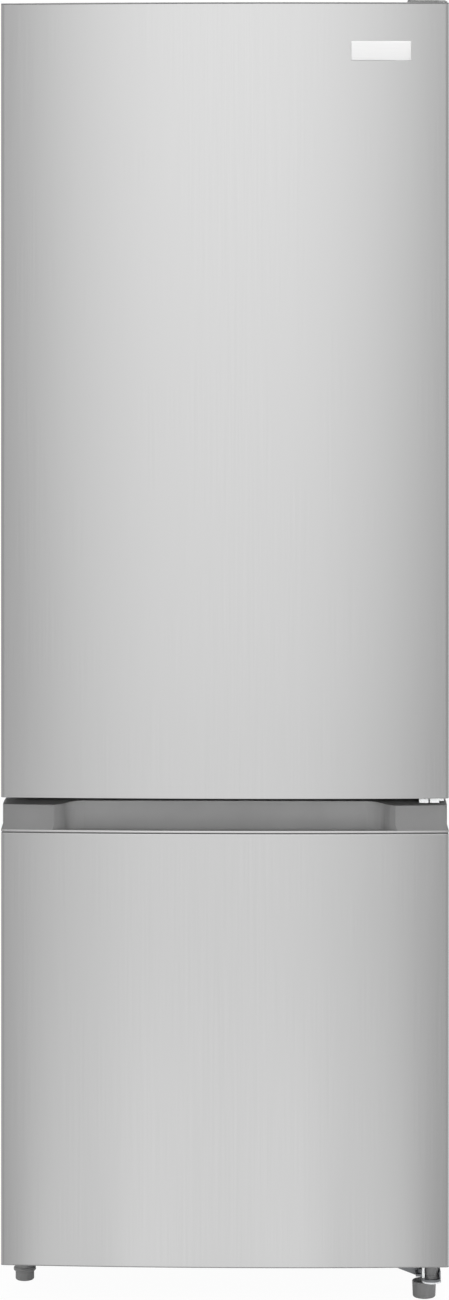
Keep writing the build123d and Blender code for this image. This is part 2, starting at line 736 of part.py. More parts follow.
def middle_hinge():
    """The middle hinge: a flange on the mullion, a plate in the door gap, a stop tab and two pins."""
    x1 = hinge_x + TOP_ARM_HALF
    x0 = x1 - MIDDLE_FLANGE_WIDTH
    z0 = middle_plate_z
    z1 = z0 + MIDDLE_PLATE
    middle = (z0 + z1) / 2
    arm_x = hinge_x - TOP_ARM_HALF
    low = middle - MIDDLE_FLANGE_HEIGHT / 2
    flange = block(x0, x1, front_y - HINGE_PLATE, front_y, low, low + MIDDLE_FLANGE_HEIGHT)
    tip_y = crown_y + MIDDLE_TIP
    tip_end = tip_y + MIDDLE_TIP_LENGTH
    arm = block(arm_x, x1, tip_end - HINGE_PLATE, front_y, z0, z1)
    tip_x1 = half_width - MIDDLE_TIP_FROM_SIDE
    tip_x0 = tip_x1 - MIDDLE_TIP_WIDTH
    low_z = lower_door_top + MIDDLE_DOOR_GAP
    high_z = upper_door_bottom - MIDDLE_DOOR_GAP
    tip = block(tip_x0, tip_x1, tip_y, tip_end, middle, high_z)
    tip += block(tip_x0, tip_x0 + MIDDLE_TIP_FOOT, tip_y, tip_end, low_z, middle)
    stop_x = tip_x0 - MIDDLE_STOP_GAP
    stop = block(stop_x - MIDDLE_STOP_WIDTH, stop_x, tip_y, tip_end, low_z, high_z)
    plate = flange + arm + tip + stop
    plate += post(PIN_RADIUS, hinge_x, hinge_y, z0 - PIN_LENGTH, z1 + PIN_LENGTH)
    for x in middle_screw_places():
        plate -= rod_y(SCREW_HOLE, front_y - HINGE_PLATE, front_y, x, middle)
    return plate


def bracket_screw_places():
    """The places of the two screws of the bottom hinge's flange."""
    x1 = hinge_x + BRACKET_TONGUE_WIDTH / 2
    z = BRACKET_FLANGE_TOP - TOP_BASE_EDGE
    return [(x1 - BRACKET_FLANGE_WIDTH + TOP_BASE_EDGE, z), (x1 - TOP_BASE_EDGE, z)]


def bottom_hinge():
    """The bottom hinge: a flange on the cabinet front, a foot plate and a cheeked tongue with the pin."""
    half = BRACKET_TONGUE_WIDTH / 2
    x1 = hinge_x + half
    x0 = x1 - BRACKET_FLANGE_WIDTH
    low = BRACKET_FLANGE_BOTTOM
    plate_x = right_foot[0] - FOOT_NUT_RADIUS - HINGE_PLATE
    z0 = BRACKET_PLATE_Z
    z1 = bracket_top_z
    tip_y = hinge_y - BRACKET_TONGUE_TIP
    points = [
        (x0, BRACKET_FLANGE_TOP),
        (x1, BRACKET_FLANGE_TOP),
        (x1, low),
        (plate_x, low),
        (x0, low + BRACKET_FLANGE_RISE),
    ]
    outline = Polyline(*[(x, front_y - HINGE_PLATE, z) for x, z in points], close=True)
    flange = extrude(make_face(outline), amount=HINGE_PLATE, dir=(0, 1, 0))
    plate_y = right_foot[1] - FOOT_NUT_RADIUS - HINGE_PLATE
    foot_plate = block(plate_x, x1, plate_y, front_y, z0, z1)
    tongue = block(hinge_x - half, x1, tip_y, front_y, z0, z1 + BRACKET_RIM_HEIGHT)
    tongue = fillet(tongue.edges().filter_by(Axis.Z).sort_by(Axis.Y)[:2], half * 0.95)
    inner = half - BRACKET_RIM
    dish = block(hinge_x - inner, hinge_x + inner, tip_y + BRACKET_RIM, front_y, z1, z1 + BRACKET_RIM_HEIGHT)
    dish = fillet(dish.edges().filter_by(Axis.Z).sort_by(Axis.Y)[:2], inner * 0.95)
    rear_cut = block(x0, x1, plate_y, front_y, z1, z1 + BRACKET_RIM_HEIGHT)
    cheek_y = tip_y + half
    cheek_x = hinge_x - half
    cheek_top = LOWER_DOOR_BOTTOM - HINGE_CLEARANCE
    cheeks = block(cheek_x, cheek_x + BRACKET_CHEEK, cheek_y, plate_y, z1, cheek_top)
    cheeks += block(x1 - BRACKET_CHEEK, x1, cheek_y, plate_y, z1, z1 + BRACKET_CHEEK_HEIGHT)
    nut = post(FOOT_NUT_RADIUS, *right_foot, z1, z1 + 2 * HINGE_PLATE)
    pin = post(PIN_RADIUS, hinge_x, hinge_y, z1, LOWER_DOOR_BOTTOM + PIN_LENGTH)
    bracket = flange + foot_plate + (tongue - dish - rear_cut) + cheeks + nut + pin
    bracket -= post(FOOT_STEM + FOOT_STEM_FIT, *right_foot, z0, z1 + 2 * HINGE_PLATE)
    for x, z in bracket_screw_places():
        bracket -= rod_y(SCREW_HOLE, front_y - HINGE_PLATE, front_y, x, z)
    return bracket


def cabinet_screws():
    """The screws of the three hinges, as a group."""
    top = cabinet_top + HINGE_PLATE
    parts = [screw(x, y, top, HINGE_PLATE) for x, y in top_screw_places()]
    middle = middle_plate_z + MIDDLE_PLATE / 2
    parts += [front_screw(x, front_y - HINGE_PLATE, middle, HINGE_PLATE) for x in middle_screw_places()]
    parts += [front_screw(x, front_y - HINGE_PLATE, z, HINGE_PLATE) for x, z in bracket_screw_places()]
    return Compound(children=[part.solid() for part in parts])


# Compressor niche


def compressor_base():
    """The steel deck under the compressor, with a rear flange and ears for the rollers."""
    y0 = niche_y + PAN_SHEET + BASE_GAP
    y1 = return_back_y - BASE_GAP
    x = inner_side_x - BASE_GAP
    deck = wide(x, y0, y1, CABINET_BOTTOM, base_top_z)
    flange_x = side_x - REAR_RETURN - BASE_GAP
    flange = wide(flange_x, y1 - BASE_PLATE, y1, CABINET_BOTTOM, base_top_z + BASE_FLANGE)
    deck = deck + flange
    ear_x = ROLLER_WIDTH / 2 + ROLLER_SIDE_GAP
    low = ROLLER_RADIUS - EAR_BELOW_AXLE
    for inner in (roller_x - ear_x - EAR, roller_x + ear_x):
        ear = block(
            inner, inner + EAR, roller_y - EAR_HALF_WIDTH, roller_y + EAR_HALF_WIDTH, low, CABINET_BOTTOM
        )
        ear -= rod_x(ROLLER_AXLE, inner, inner + EAR, roller_y, ROLLER_RADIUS)
        deck = deck + ear + mirror(ear, about=Plane.YZ)
    return deck - rod_y(GLAND_NECK, y1 - BASE_PLATE, y1, gland_x, gland_z())


def gland_z():
    """The height of the power cord gland."""
    return base_top_z + BASE_FLANGE / 2


def power_cord_gland():
    """The plastic gland that a power cord would leave by, in the deck's rear flange."""
    y1 = return_back_y - BASE_GAP
    y0 = y1 - BASE_PLATE
    gland = rod_y(GLAND_RADIUS, y0 - BASE_PLATE * 2, y0, gland_x, gland_z())
    gland += rod_y(GLAND_NECK, y0, y1, gland_x, gland_z())
    gland += rod_y(GLAND_RADIUS, y1, y1 + BASE_PLATE, gland_x, gland_z())
    return gland - rod_y(GLAND_BORE, y0 - BASE_PLATE * 2, back_y, gland_x, gland_z())


def compressor():
    """The welded compressor can on its foot plate."""
    can = post(COMPRESSOR_RADIUS, COMPRESSOR_X, compressor_y, COMPRESSOR_BOTTOM, COMPRESSOR_TOP)
    can = fillet(can.edges().filter_by(GeomType.CIRCLE), COMPRESSOR_ROUND)
    middle = (COMPRESSOR_BOTTOM + COMPRESSOR_TOP) / 2
    low = middle - SEAM_HEIGHT / 2
    seam = post(COMPRESSOR_RADIUS + SEAM_WIDTH, COMPRESSOR_X, compressor_y, low, low + SEAM_HEIGHT)
    saddle = post(COMPRESSOR_RADIUS - COMPRESSOR_ROUND, COMPRESSOR_X, compressor_y, COMPRESSOR_FOOT_Z, middle)
    x = FOOT_PLATE_LENGTH / 2
    y = FOOT_PLATE_WIDTH / 2
    top = COMPRESSOR_FOOT_Z + FOOT_PLATE
    plate = Pos(COMPRESSOR_X, compressor_y, 0) * block(-x, x, -y, y, COMPRESSOR_FOOT_Z, top)
    plate = fillet(plate.edges().filter_by(Axis.Z), GROMMET_RADIUS)
    return can + seam + saddle + plate


def compressor_grommets():
    """Four rubber grommets under the compressor's foot plate."""
    x = FOOT_PLATE_LENGTH / 2 - GROMMET_INSET
    y = FOOT_PLATE_WIDTH / 2 - GROMMET_INSET
    places = [(COMPRESSOR_X + i * x, compressor_y + j * y) for i in (-1, 1) for j in (-1, 1)]
    parts = [post(GROMMET_RADIUS, *place, base_top_z, COMPRESSOR_FOOT_Z) for place in places]
    return Compound(children=[part.solid() for part in parts])


def compressor_terminal_cover():
    """The cover over the compressor's electrical terminals."""
    x0 = COMPRESSOR_X + COMPRESSOR_RADIUS - SEAM_WIDTH * 2
    half = COMPRESSOR_ROUND
    z0 = COMPRESSOR_BOTTOM + COMPRESSOR_ROUND / 2
    cover = block(x0, x0 + 2 * half, compressor_y - half, compressor_y + half, z0, z0 + 2 * half)
    cover = fillet(cover.edges().filter_by(Axis.X), SEAM_WIDTH)
    return cover - compressor()


def refrigerant_pipes():
    """The suction pipe, and the discharge pipe with the drier and the capillary tube."""
    x0 = COMPRESSOR_X + COMPRESSOR_RADIUS - SEAM_WIDTH * 2
    z0 = COMPRESSOR_TOP - COMPRESSOR_ROUND
    front = compressor_y - COMPRESSOR_ROUND
    rear = compressor_y + COMPRESSOR_ROUND
    bend = 4 * SUCTION_TUBE
    drier_x = x0 + 6 * COMPRESSOR_ROUND
    drier_z = base_top_z + 2 * BASE_FLANGE + DRIER_RADIUS
    drier_top = NICHE_TOP - 2 * COMPRESSOR_ROUND
    turn_x = drier_x - 3 * COMPRESSOR_ROUND
    turn_z = drier_z - 2 * bend
    route = [(x0, front, z0), (turn_x, front, z0), (turn_x, front, turn_z), (drier_x, front, turn_z)]
    discharge = tube([*route, (drier_x, front, drier_z)], DISCHARGE_TUBE, bend) - compressor()
    drier = post(DRIER_RADIUS, drier_x, front, drier_z, drier_top)
    drier = fillet(drier.edges().filter_by(GeomType.CIRCLE), DRIER_RADIUS / 2)
    capillary = post(CAPILLARY_TUBE, drier_x, front, drier_top, NICHE_TOP)
    rise_x = x0 + 3 * COMPRESSOR_ROUND
    far_x = drier_x + 2 * COMPRESSOR_ROUND
    high = NICHE_TOP - COMPRESSOR_ROUND
    start = [(x0, rear, z0), (rise_x, rear, z0), (rise_x, rear, high), (far_x, rear, high)]
    suction = tube([*start, (far_x, rear, NICHE_TOP)], SUCTION_TUBE, bend * 0.9) - compressor()
    return Compound(children=[part.solid() for part in (discharge, drier, capillary, suction)])


def drip_pan():
    """The tray on top of the compressor, where the defrost water dries off."""
    x = COMPRESSOR_RADIUS + COMPRESSOR_ROUND / 2
    y = COMPRESSOR_RADIUS - SEAM_WIDTH
    top = COMPRESSOR_TOP + DRIP_PAN_HEIGHT
    floor = COMPRESSOR_TOP + DRIP_PAN_WALL
    pan = block(COMPRESSOR_X - x, COMPRESSOR_X + x, compressor_y - y, compressor_y + y, COMPRESSOR_TOP, top)
    x -= DRIP_PAN_WALL
    y -= DRIP_PAN_WALL
    room = block(COMPRESSOR_X - x, COMPRESSOR_X + x, compressor_y - y, compressor_y + y, floor, top)
    pan = fillet(pan.edges().filter_by(Axis.Z), TUB_ROUND)
    return pan - fillet(room.edges().filter_by(Axis.Z), TUB_ROUND - DRIP_PAN_WALL)


# Feet and rollers


def rounded_foot(pad):
    """A foot's pad with its lower and upper edge rounded."""
    circles = pad.edges().filter_by(GeomType.CIRCLE).sort_by(Axis.Z)
    pad = fillet(circles[0], FOOT_ROUND)
    return fillet(pad.edges().filter_by(GeomType.CIRCLE).sort_by(Axis.Z)[-1], FOOT_TOP_ROUND)


def right_front_foot():
    """The right levelling foot, hollow on top around its stem, which turns in the bottom hinge."""
    x, y = right_foot
    low = (Align.CENTER, Align.CENTER, Align.MIN)
    pad = Cone(RIGHT_FOOT_RADIUS - RIGHT_FOOT_TAPER, RIGHT_FOOT_RADIUS, RIGHT_FOOT_HEIGHT, align=low)
    pad = Pos(x, y, 0) * rounded_foot(pad)
    recess = post(RIGHT_FOOT_RADIUS - FOOT_STEM, x, y, RIGHT_FOOT_HEIGHT / 2, RIGHT_FOOT_HEIGHT)
    stem_top = bracket_top_z + 3 * HINGE_PLATE
    return pad - recess + post(FOOT_STEM, x, y, RIGHT_FOOT_HEIGHT / 2, stem_top)


def left_front_foot():
    """The left levelling foot: a pad, a rounded flange, a collar and a stem."""
    x, y = left_foot
    flange_top = LEFT_FOOT_PAD + LEFT_FOOT_FLANGE_HEIGHT
    pad = post(LEFT_FOOT_RADIUS, x, y, 0, flange_top + LEFT_FOOT_FLANGE_HEIGHT)
    pad = rounded_foot(pad)
    flange = post(LEFT_FOOT_FLANGE, x, y, LEFT_FOOT_PAD, flange_top)
    flange = fillet(flange.edges().filter_by(GeomType.CIRCLE), LEFT_FOOT_FLANGE_HEIGHT * 0.4)
    return pad + flange + post(FOOT_STEM, x, y, flange_top, foot_stem_top())


def rear_roller():
    """The right rear roller."""
    half = ROLLER_WIDTH / 2
    wheel = rod_x(ROLLER_RADIUS, roller_x - half, roller_x + half, roller_y, ROLLER_RADIUS)
    wheel = fillet(wheel.edges().filter_by(GeomType.CIRCLE), SEAM_WIDTH / 2)
    return wheel - rod_x(ROLLER_AXLE + ROLLER_FIT, roller_x - half, roller_x + half, roller_y, ROLLER_RADIUS)


def roller_axles():
    """The two roller axles, held in the deck's ears."""
    half = ROLLER_WIDTH / 2 + ROLLER_SIDE_GAP + EAR
    return both(rod_x(ROLLER_AXLE, roller_x - half, roller_x + half, roller_y, ROLLER_RADIUS))


# Inside the fresh-food room


def shelf_glass(level):
    """One pane, lying on its rails."""
    pane = wide(fresh_half - SHELF_SIDE_GAP, shelf_front_y, shelf_back_y, level, level + SHELF_GLASS)
    return fillet(pane.edges().filter_by(Axis.Z), SHELF_GLASS)


def shelf_trims():
    """The front and rear edge trims of the shelves and of the crisper cover."""
    x = fresh_half - SHELF_SIDE_GAP - TRIM_SIDE_GAP
    parts = []
    for level in [*shelf_levels.values(), crisper_cover_level]:
        low = level - SHELF_GLASS
        front = wide(x, shelf_front_y - SHELF_GLASS, shelf_front_y + TRIM_DEPTH, low, low + TRIM_HEIGHT)
        front = fillet(front.edges().filter_by(Axis.X).sort_by(Axis.Y)[:2], SHELF_GLASS * 0.7)
        rear = wide(x, shelf_back_y - TRIM_DEPTH, shelf_back_y + SHELF_GLASS / 2, low, low + TRIM_HEIGHT)
        parts += [front - shelf_glass(level), rear - shelf_glass(level)]
    return Compound(children=[solid for part in parts for solid in part.solids()])


def crisper_drawer():
    """The vegetable drawer on the floor of the fresh-food room."""
    return drawer(
        fresh_half - CRISPER_SIDE_GAP,
        shelf_front_y + CRISPER_SETBACK,
        shelf_back_y - CRISPER_SETBACK,
        fresh_floor + TUB_FLOOR_GAP,
        crisper_cover_level - CRISPER_TOP_GAP,
    )


def fresh_food_duct_panel():
    """The air duct on the back wall, with rows of outlet slots."""
    y0 = fresh_back_y - FRESH_DUCT_DEPTH
    top = fresh_ceiling - FRESH_DUCT_TOP_GAP
    panel = wide(FRESH_DUCT_HALF, y0, fresh_back_y, fresh_duct_bottom, top)
    panel = fillet(panel.edges().filter_by(Axis.Z).sort_by(Axis.Y)[:2], FRESH_DUCT_DEPTH / 2)
    wall = FRESH_DUCT_WALL
    room = wide(FRESH_DUCT_HALF - wall, y0 + wall, fresh_back_y, fresh_duct_bottom + wall, top - wall)
    panel -= fillet(room.edges().filter_by(Axis.Z).sort_by(Axis.Y)[:2], FRESH_DUCT_DEPTH / 2 - wall)
    slot_x = FRESH_DUCT_HALF - FRESH_DUCT_DEPTH
    for level in [*shelf_levels.values(), crisper_cover_level]:
        for row in (1, 2, 3):
            z = level + row * FRESH_DUCT_DEPTH + 2 * FRESH_DUCT_DEPTH
            panel -= wide(slot_x, y0, y0 + wall, z, z + wall * 2)
    return panel


def lens_block(grow):
    """The lamp lens outline, in the middle of the control housing's floor."""
    y = LENS_LENGTH / 2
    return wide(LENS_HALF, control_y - y, control_y + y, control_z - grow, control_z + CONTROL_WALL)


def control_housing():
    """The housing under the ceiling, open above, with places for the lens and the knob."""
    y = CONTROL_LENGTH / 2
    housing = wide(CONTROL_HALF, control_y - y, control_y + y, control_z, fresh_ceiling)
    housing = fillet(housing.edges().filter_by(Axis.Z), TUB_ROUND)
    y -= CONTROL_WALL
    x = CONTROL_HALF - CONTROL_WALL
    room = wide(x, control_y - y, control_y + y, control_z + CONTROL_WALL, fresh_ceiling)
    housing -= fillet(room.edges().filter_by(Axis.Z), TUB_ROUND - CONTROL_WALL)
    shaft = post(KNOB_SHAFT + PIN_FIT, KNOB_X, control_y, control_z, control_z + CONTROL_WALL)
    return housing - lens_block(0) - shaft


def light_lens():
    """The frosted lamp lens."""
    lens = lens_block(LENS_HEIGHT)
    return fillet(lens.edges().group_by(Axis.Z)[0], LENS_HEIGHT * 0.7)


def temperature_knob():
    """The temperature knob, with a raised bar and a shaft through the housing's floor."""
    top = control_z - KNOB_GAP
    low = top - KNOB_HEIGHT
    disc = post(KNOB_RADIUS, KNOB_X, control_y, low + KNOB_HEIGHT / 2, top)
    bar_x = KNOB_RADIUS / 4
    bar_y = KNOB_RADIUS - SEAM_WIDTH / 2
    bar = block(KNOB_X - bar_x, KNOB_X + bar_x, control_y - bar_y, control_y + bar_y, low, top)
    bar = fillet(bar.edges().filter_by(Axis.Z), bar_x / 2)
    return disc + bar + post(KNOB_SHAFT, KNOB_X, control_y, top, control_z + 2 * CONTROL_WALL)


# Inside the freezer


def freezer_drawer(name):
    """One freezer drawer, on the floor or on its ledges."""
    levels = list(drawer_floors.values())
    place = list(drawer_floors).index(name)
    floor = levels[place]
    ceiling = freezer_ceiling
    if place + 1 < len(levels):
        ceiling = levels[place + 1] - RAIL_HEIGHT
    rear = step_y if place == 0 else duct_y
    return drawer(
        freezer_half - DRAWER_SIDE_GAP,
        front_y + DRAWER_SETBACK,
        rear - DRAWER_REAR_GAP,
        floor + TUB_FLOOR_GAP,
        ceiling - DRAWER_GAP,
    )


def freezer_duct_panel():
    """The panel in front of the evaporator, with the fan opening and return slots."""
    z0 = step_top + DUCT_MARGIN
    z1 = freezer_ceiling - DUCT_MARGIN
    panel = wide(freezer_half - DUCT_MARGIN, duct_y, duct_y + DUCT_PANEL, z0, z1)
    panel -= rod_y(FAN_RADIUS + FAN_HOLE_GAP, duct_y, duct_y + DUCT_PANEL, 0, fan_z)
    slot_x = freezer_half - FAN_RADIUS
    for row in (1, 2, 3):
        z = z0 + row * 4 * DUCT_PANEL
        panel -= wide(slot_x, duct_y, duct_y + DUCT_PANEL, z, z + 2 * DUCT_PANEL)
    return panel


def evaporator():
    """The evaporator: a serpentine tube brazed into upright fins."""
    y = freezer_back_y - FIN_DEPTH / 2 - FAN_BEHIND_PANEL
    z0 = evaporator_z
    points = []
    for row in range(evaporator_rows):
        ends = [-evaporator_half, evaporator_half]
        if row % 2:
            ends.reverse()
        points += [(x, y, z0 + row * EVAPORATOR_ROW_PITCH) for x in ends]
    coil = tube(points, EVAPORATOR_TUBE, EVAPORATOR_ROW_PITCH * 0.45)
    margin = EVAPORATOR_ROW_PITCH / 3
    z1 = z0 + (evaporator_rows - 1) * EVAPORATOR_ROW_PITCH
    reach = evaporator_half - EVAPORATOR_ROW_PITCH
    pitch = 2 * reach / (FIN_COUNT - 1)
    half = FIN_DEPTH / 2
    fins = []
    for fin in range(FIN_COUNT):
        x = -reach + fin * pitch
        fins.append(block(x, x + FIN_THICKNESS, y - half, y + half, z0 - margin, z1 + margin))
    return coil + fins


def evaporator_fan():
    """The fan: a hub with pitched blades on a short shaft."""
    hub = rod_y(FAN_HUB_RADIUS, fan_y, fan_y + FAN_LENGTH, 0, fan_z)
    length = FAN_RADIUS - FAN_HUB_RADIUS / 2
    middle = FAN_RADIUS - length / 2
    blade = Pos(middle, 0, 0) * Rot(BLADE_PITCH, 0, 0) * Box(length, BLADE, FAN_LENGTH)
    centre = Pos(0, fan_y + FAN_LENGTH / 2, fan_z)
    blades = [centre * Rot(0, turn * 360 / FAN_BLADES, 0) * blade for turn in range(FAN_BLADES)]
    shaft = rod_y(FAN_SHAFT, fan_y + FAN_LENGTH, fan_y + 2 * FAN_LENGTH, 0, fan_z)
    return hub + blades + shaft


def fan_motor():
    """The fan's motor, on a foot against the liner's back wall."""
    y0 = fan_y + FAN_LENGTH + FAN_BEHIND_PANEL
    y1 = freezer_back_y - FAN_BEHIND_PANEL
    half = FAN_MOTOR_RADIUS + FAN_BEHIND_PANEL
    motor = rod_y(FAN_MOTOR_RADIUS, y0, y1, 0, fan_z)
    motor += block(-half, half, y1, freezer_back_y, fan_z - half, fan_z + half)
    return motor - rod_y(FAN_SHAFT + PIN_FIT, y0, fan_y + 2 * FAN_LENGTH + PIN_END_GAP, 0, fan_z)


# Doors


def door_skin(z0, z1):
    """The bowed sheet of a door, folded back along both sides."""
    inner = door_plan(SKIN, SKIN, door_back_y, DOOR_CORNER - SKIN)
    return prism(door_plan(0, 0, liner_front_y, DOOR_CORNER) - inner, z0, z1)


def door_core(z0, z1):
    """The room inside a door's skin, up to its liner."""
    return prism(door_plan(SKIN, SKIN, liner_front_y, DOOR_CORNER - SKIN), z0, z1)


def skirt(z0, z1):
    """The wall of an end cap that stands inside the skin."""
    inset = SKIN + END_CAP_WALL
    inner = door_plan(inset, inset, liner_front_y - END_CAP_WALL, DOOR_CORNER - SKIN)
    return door_core(z0, z1) - prism(inner, z0, z1)


def rim(z0, z1):
    """The edge of an end cap that shows, flush with the skin."""
    return prism(door_plan(0, 0, liner_front_y, DOOR_CORNER), z0, z1)


def dyke(x, z0, z1, depth, inset):
    """The raised frame on the back of a door liner, drawn in by a wall."""
    outer = wide(x - inset, liner_front_y, door_back_y + depth - inset, z0 + inset, z1 - inset)
    rounds = outer.faces().sort_by(Axis.Y)[-1].edges() + outer.edges().filter_by(Axis.Y)
    outer = fillet(rounds, DYKE_ROUND - inset)
    member = DYKE_WIDTH - inset
    return outer - wide(x - member, liner_front_y, door_back_y + depth, z0 + member, z1 - member)


def fresh_dyke(inset):
    """The raised frame of the upper door's liner."""
    return dyke(dyke_x, fresh_floor + DYKE_GAP, fresh_ceiling - DYKE_GAP, FRESH_DYKE_DEPTH, inset)


def freezer_dyke(inset):
    """The raised frame of the lower door's liner."""
    x = freezer_half - DYKE_GAP
    return dyke(x, freezer_floor + DYKE_GAP, freezer_ceiling - DYKE_GAP, FREEZER_DYKE_DEPTH, inset)


def liner_plate(z0, z1):
    """The flat sheet of a door liner."""
    x = half_width - DOOR_LINER_INSET
    return wide(x, liner_front_y, door_back_y, z0 + DOOR_LINER_INSET, z1 - DOOR_LINER_INSET)


def gasket(z0, z1):
    """A door gasket: a flat base with a narrower magnet bulb."""
    base = ring(gasket_x, z0, z1, GASKET_WIDTH, door_back_y, door_back_y + GASKET_BASE)
    x = gasket_x - GASKET_STEP
    member = GASKET_WIDTH - 2 * GASKET_STEP
    bulb_y = front_y - GASKET_CLEARANCE
    return base + ring(x, z0 + GASKET_STEP, z1 - GASKET_STEP, member, door_back_y + GASKET_BASE, bulb_y)


def upper_door_skin():
    """The upper door's sheet, from its lower edge to the top cap."""
    return door_skin(upper_door_bottom, upper_door_top - END_CAP_RIM)


def upper_door_top_cap():
    """The upper door's top cap, with the socket of the top pin."""
    z0 = upper_door_top - END_CAP_RIM
    socket = upper_door_top - PIN_LENGTH - PIN_END_GAP
    cap = rim(z0, upper_door_top) + skirt(z0 - END_CAP_SKIRT, z0)
    cap += post(BOSS_RADIUS, hinge_x, hinge_y, socket - END_CAP_WALL, z0)
    return cap - post(PIN_RADIUS + PIN_FIT, hinge_x, hinge_y, socket, upper_door_top)


def finger_groove(grow):
    """The groove under the front of the upper door, grown by a wall."""
    y0 = crown_y + GROOVE_FROM_CROWN
    return wide(
        pocket_back_half + grow,
        y0 - grow,
        y0 + GROOVE_WIDTH + grow,
        upper_door_bottom,
        upper_door_bottom + GROOVE_HEIGHT + grow,
    )


def upper_door_bottom_cap():
    """The upper door's bottom cap inside the skin, with a finger groove and the middle pin's socket."""
    z1 = upper_door_bottom + END_CAP_PLATE
    socket = middle_plate_z + MIDDLE_PLATE + PIN_LENGTH + PIN_END_GAP
    cap = door_core(upper_door_bottom, z1) + skirt(z1, z1 + END_CAP_SKIRT)
    cap += post(BOSS_RADIUS, hinge_x, hinge_y, z1, socket + END_CAP_WALL)
    cap += finger_groove(END_CAP_WALL)
    bore = post(PIN_RADIUS + PIN_FIT, hinge_x, hinge_y, upper_door_bottom, socket)
    groove = fillet(finger_groove(0).edges().filter_by(Axis.X).group_by(Axis.Z)[-1], SEAM_WIDTH)
    return cap - groove - bore


def upper_door_foam():
    """The foam of the upper door."""
    core = door_core(upper_door_bottom + END_CAP_PLATE, upper_door_top - END_CAP_RIM)
    sockets = post(BOSS_RADIUS, hinge_x, hinge_y, upper_door_bottom, upper_door_bottom + 2 * PIN_LENGTH)
    sockets += post(BOSS_RADIUS, hinge_x, hinge_y, upper_door_top - 2 * PIN_LENGTH, upper_door_top)
    foam = core + fresh_dyke(DOOR_LINER) - upper_door_top_cap() - upper_door_bottom_cap()
    return foam - finger_groove(0) - sockets


def bin_lug_z(name):
    """The top of a bin's lugs."""
    floor = bin_floors[name]
    height = BIN_HEIGHTS[name]
    return floor + height / 2


def upper_door_liner():
    """The upper door's liner, with lugs for the bins."""
    liner = liner_plate(upper_door_bottom, upper_door_top) + fresh_dyke(0) - fresh_dyke(DOOR_LINER)
    y0 = door_back_y + BIN_LUG_FROM_BACK
    for name in bin_floors:
        top = bin_lug_z(name)
        lug = block(bin_wall_x - BIN_LUG, bin_wall_x, y0, y0 + BIN_EAR_LENGTH, top - BIN_LUG_HEIGHT, top)
        liner = liner + lug + mirror(lug, about=Plane.YZ)
    return liner


def door_bin(name):
    """A door bin with ears that hang on the liner's lugs."""
    floor = bin_floors[name]
    height = BIN_HEIGHTS[name]
    y0 = door_back_y + BIN_BACK_GAP
    shell = wide(bin_x, y0, bin_rear_y, floor, floor + height)
    shell = fillet(shell.edges().filter_by(Axis.Z).sort_by(Axis.Y)[2:], BIN_ROUND)
    room = wide(bin_x - BIN_WALL, y0 + BIN_WALL, bin_rear_y - BIN_WALL, floor + BIN_WALL, floor + height)
    shell -= fillet(room.edges().filter_by(Axis.Z).sort_by(Axis.Y)[2:], BIN_ROUND - BIN_WALL)
    ear_y = door_back_y + BIN_LUG_FROM_BACK
    ear_z = bin_lug_z(name) + BIN_EAR_GAP
    ear_x = bin_wall_x - BIN_SIDE_GAP
    ear = block(bin_x, ear_x, ear_y, ear_y + BIN_EAR_LENGTH, ear_z, ear_z + BIN_LUG_HEIGHT)
    return shell + ear + mirror(ear, about=Plane.YZ)


def upper_door_gasket():
    """The upper door's gasket."""
    return gasket(upper_door_bottom + GASKET_EDGE, upper_door_top - GASKET_TOP_EDGE)


def badge_plate():
    """The blank plate near the top of the upper door, curved with the skin."""
    plate = door_plan(-BADGE_THICKNESS, 0, door_back_y, DOOR_CORNER) - door_plan(0, 0, back_y, DOOR_CORNER)
    middle = upper_door_top - BADGE_BELOW_TOP
    x = BADGE_WIDTH / 2
    z = BADGE_HEIGHT / 2
    front = crown_y - OVERCUT
    window = block(badge_x - x, badge_x + x, front, door_edge_y, middle - z, middle + z)
    plate = prism(plate, middle - z, middle + z) & window
    return chamfer(plate.faces().sort_by(Axis.Y)[0].edges(), BADGE_BEVEL)


def pocket_plan(grow):
    """The grip pocket's plan: a flared mouth, slanted ends and a straight back, grown by a wall."""
    mouth = pocket_mouth_half + grow
    back = pocket_back_half + grow
    rear = pocket_y + grow
    wide_x = mouth + POCKET_MOUTH_FLARE
    throat = (mouth - POCKET_MOUTH_FLARE, door_edge_y + POCKET_MOUTH_RUN)
    right = [(wide_x, crown_y - POCKET_DEPTH), (wide_x, door_edge_y - POCKET_MOUTH_RUN), throat, (back, rear)]
    left = [(-x, y) for x, y in reversed(right)]
    face = make_face(Polyline(*right, *left, close=True))
    return fillet(face.vertices().sort_by(Axis.Y)[-4:], POCKET_ROUND)


def pocket_room():
    """The space of the grip pocket: open to the front and top above the lip, a channel behind it."""
    lip = door_plan(POCKET_LIP_DEPTH, SKIN, liner_front_y, DOOR_CORNER)
    channel = prism(pocket_plan(0) & lip, lip_top_z - POCKET_CHANNEL, lip_top_z)
    return prism(pocket_plan(0), lip_top_z, lower_door_top) + channel


def grip_cap_form():
    """The outer form of the lower door's top cap: a groove, a flush band, a flare and a slimmer body."""
    band_z = cap_base_z + GRIP_CAP_BAND
    body_z = band_z + GRIP_CAP_FLARE
    full = door_plan(0, 0, liner_front_y, DOOR_CORNER)
    slim = door_plan(GRIP_CAP_RECESS, GRIP_CAP_SIDE_INSET, liner_front_y, DOOR_CORNER)
    flare = loft([(Pos(0, 0, band_z) * full).face(), (Pos(0, 0, body_z) * slim).face()], ruled=True)
    form = prism(full, cap_base_z, band_z) + flare + prism(slim, body_z, lower_door_top)
    depth = GRIP_CAP_GROOVE_DEPTH
    groove = full - door_plan(depth, depth, back_y, DOOR_CORNER)
    return form - prism(groove, cap_base_z, cap_base_z + GRIP_CAP_GROOVE) - grip_cap_fall()


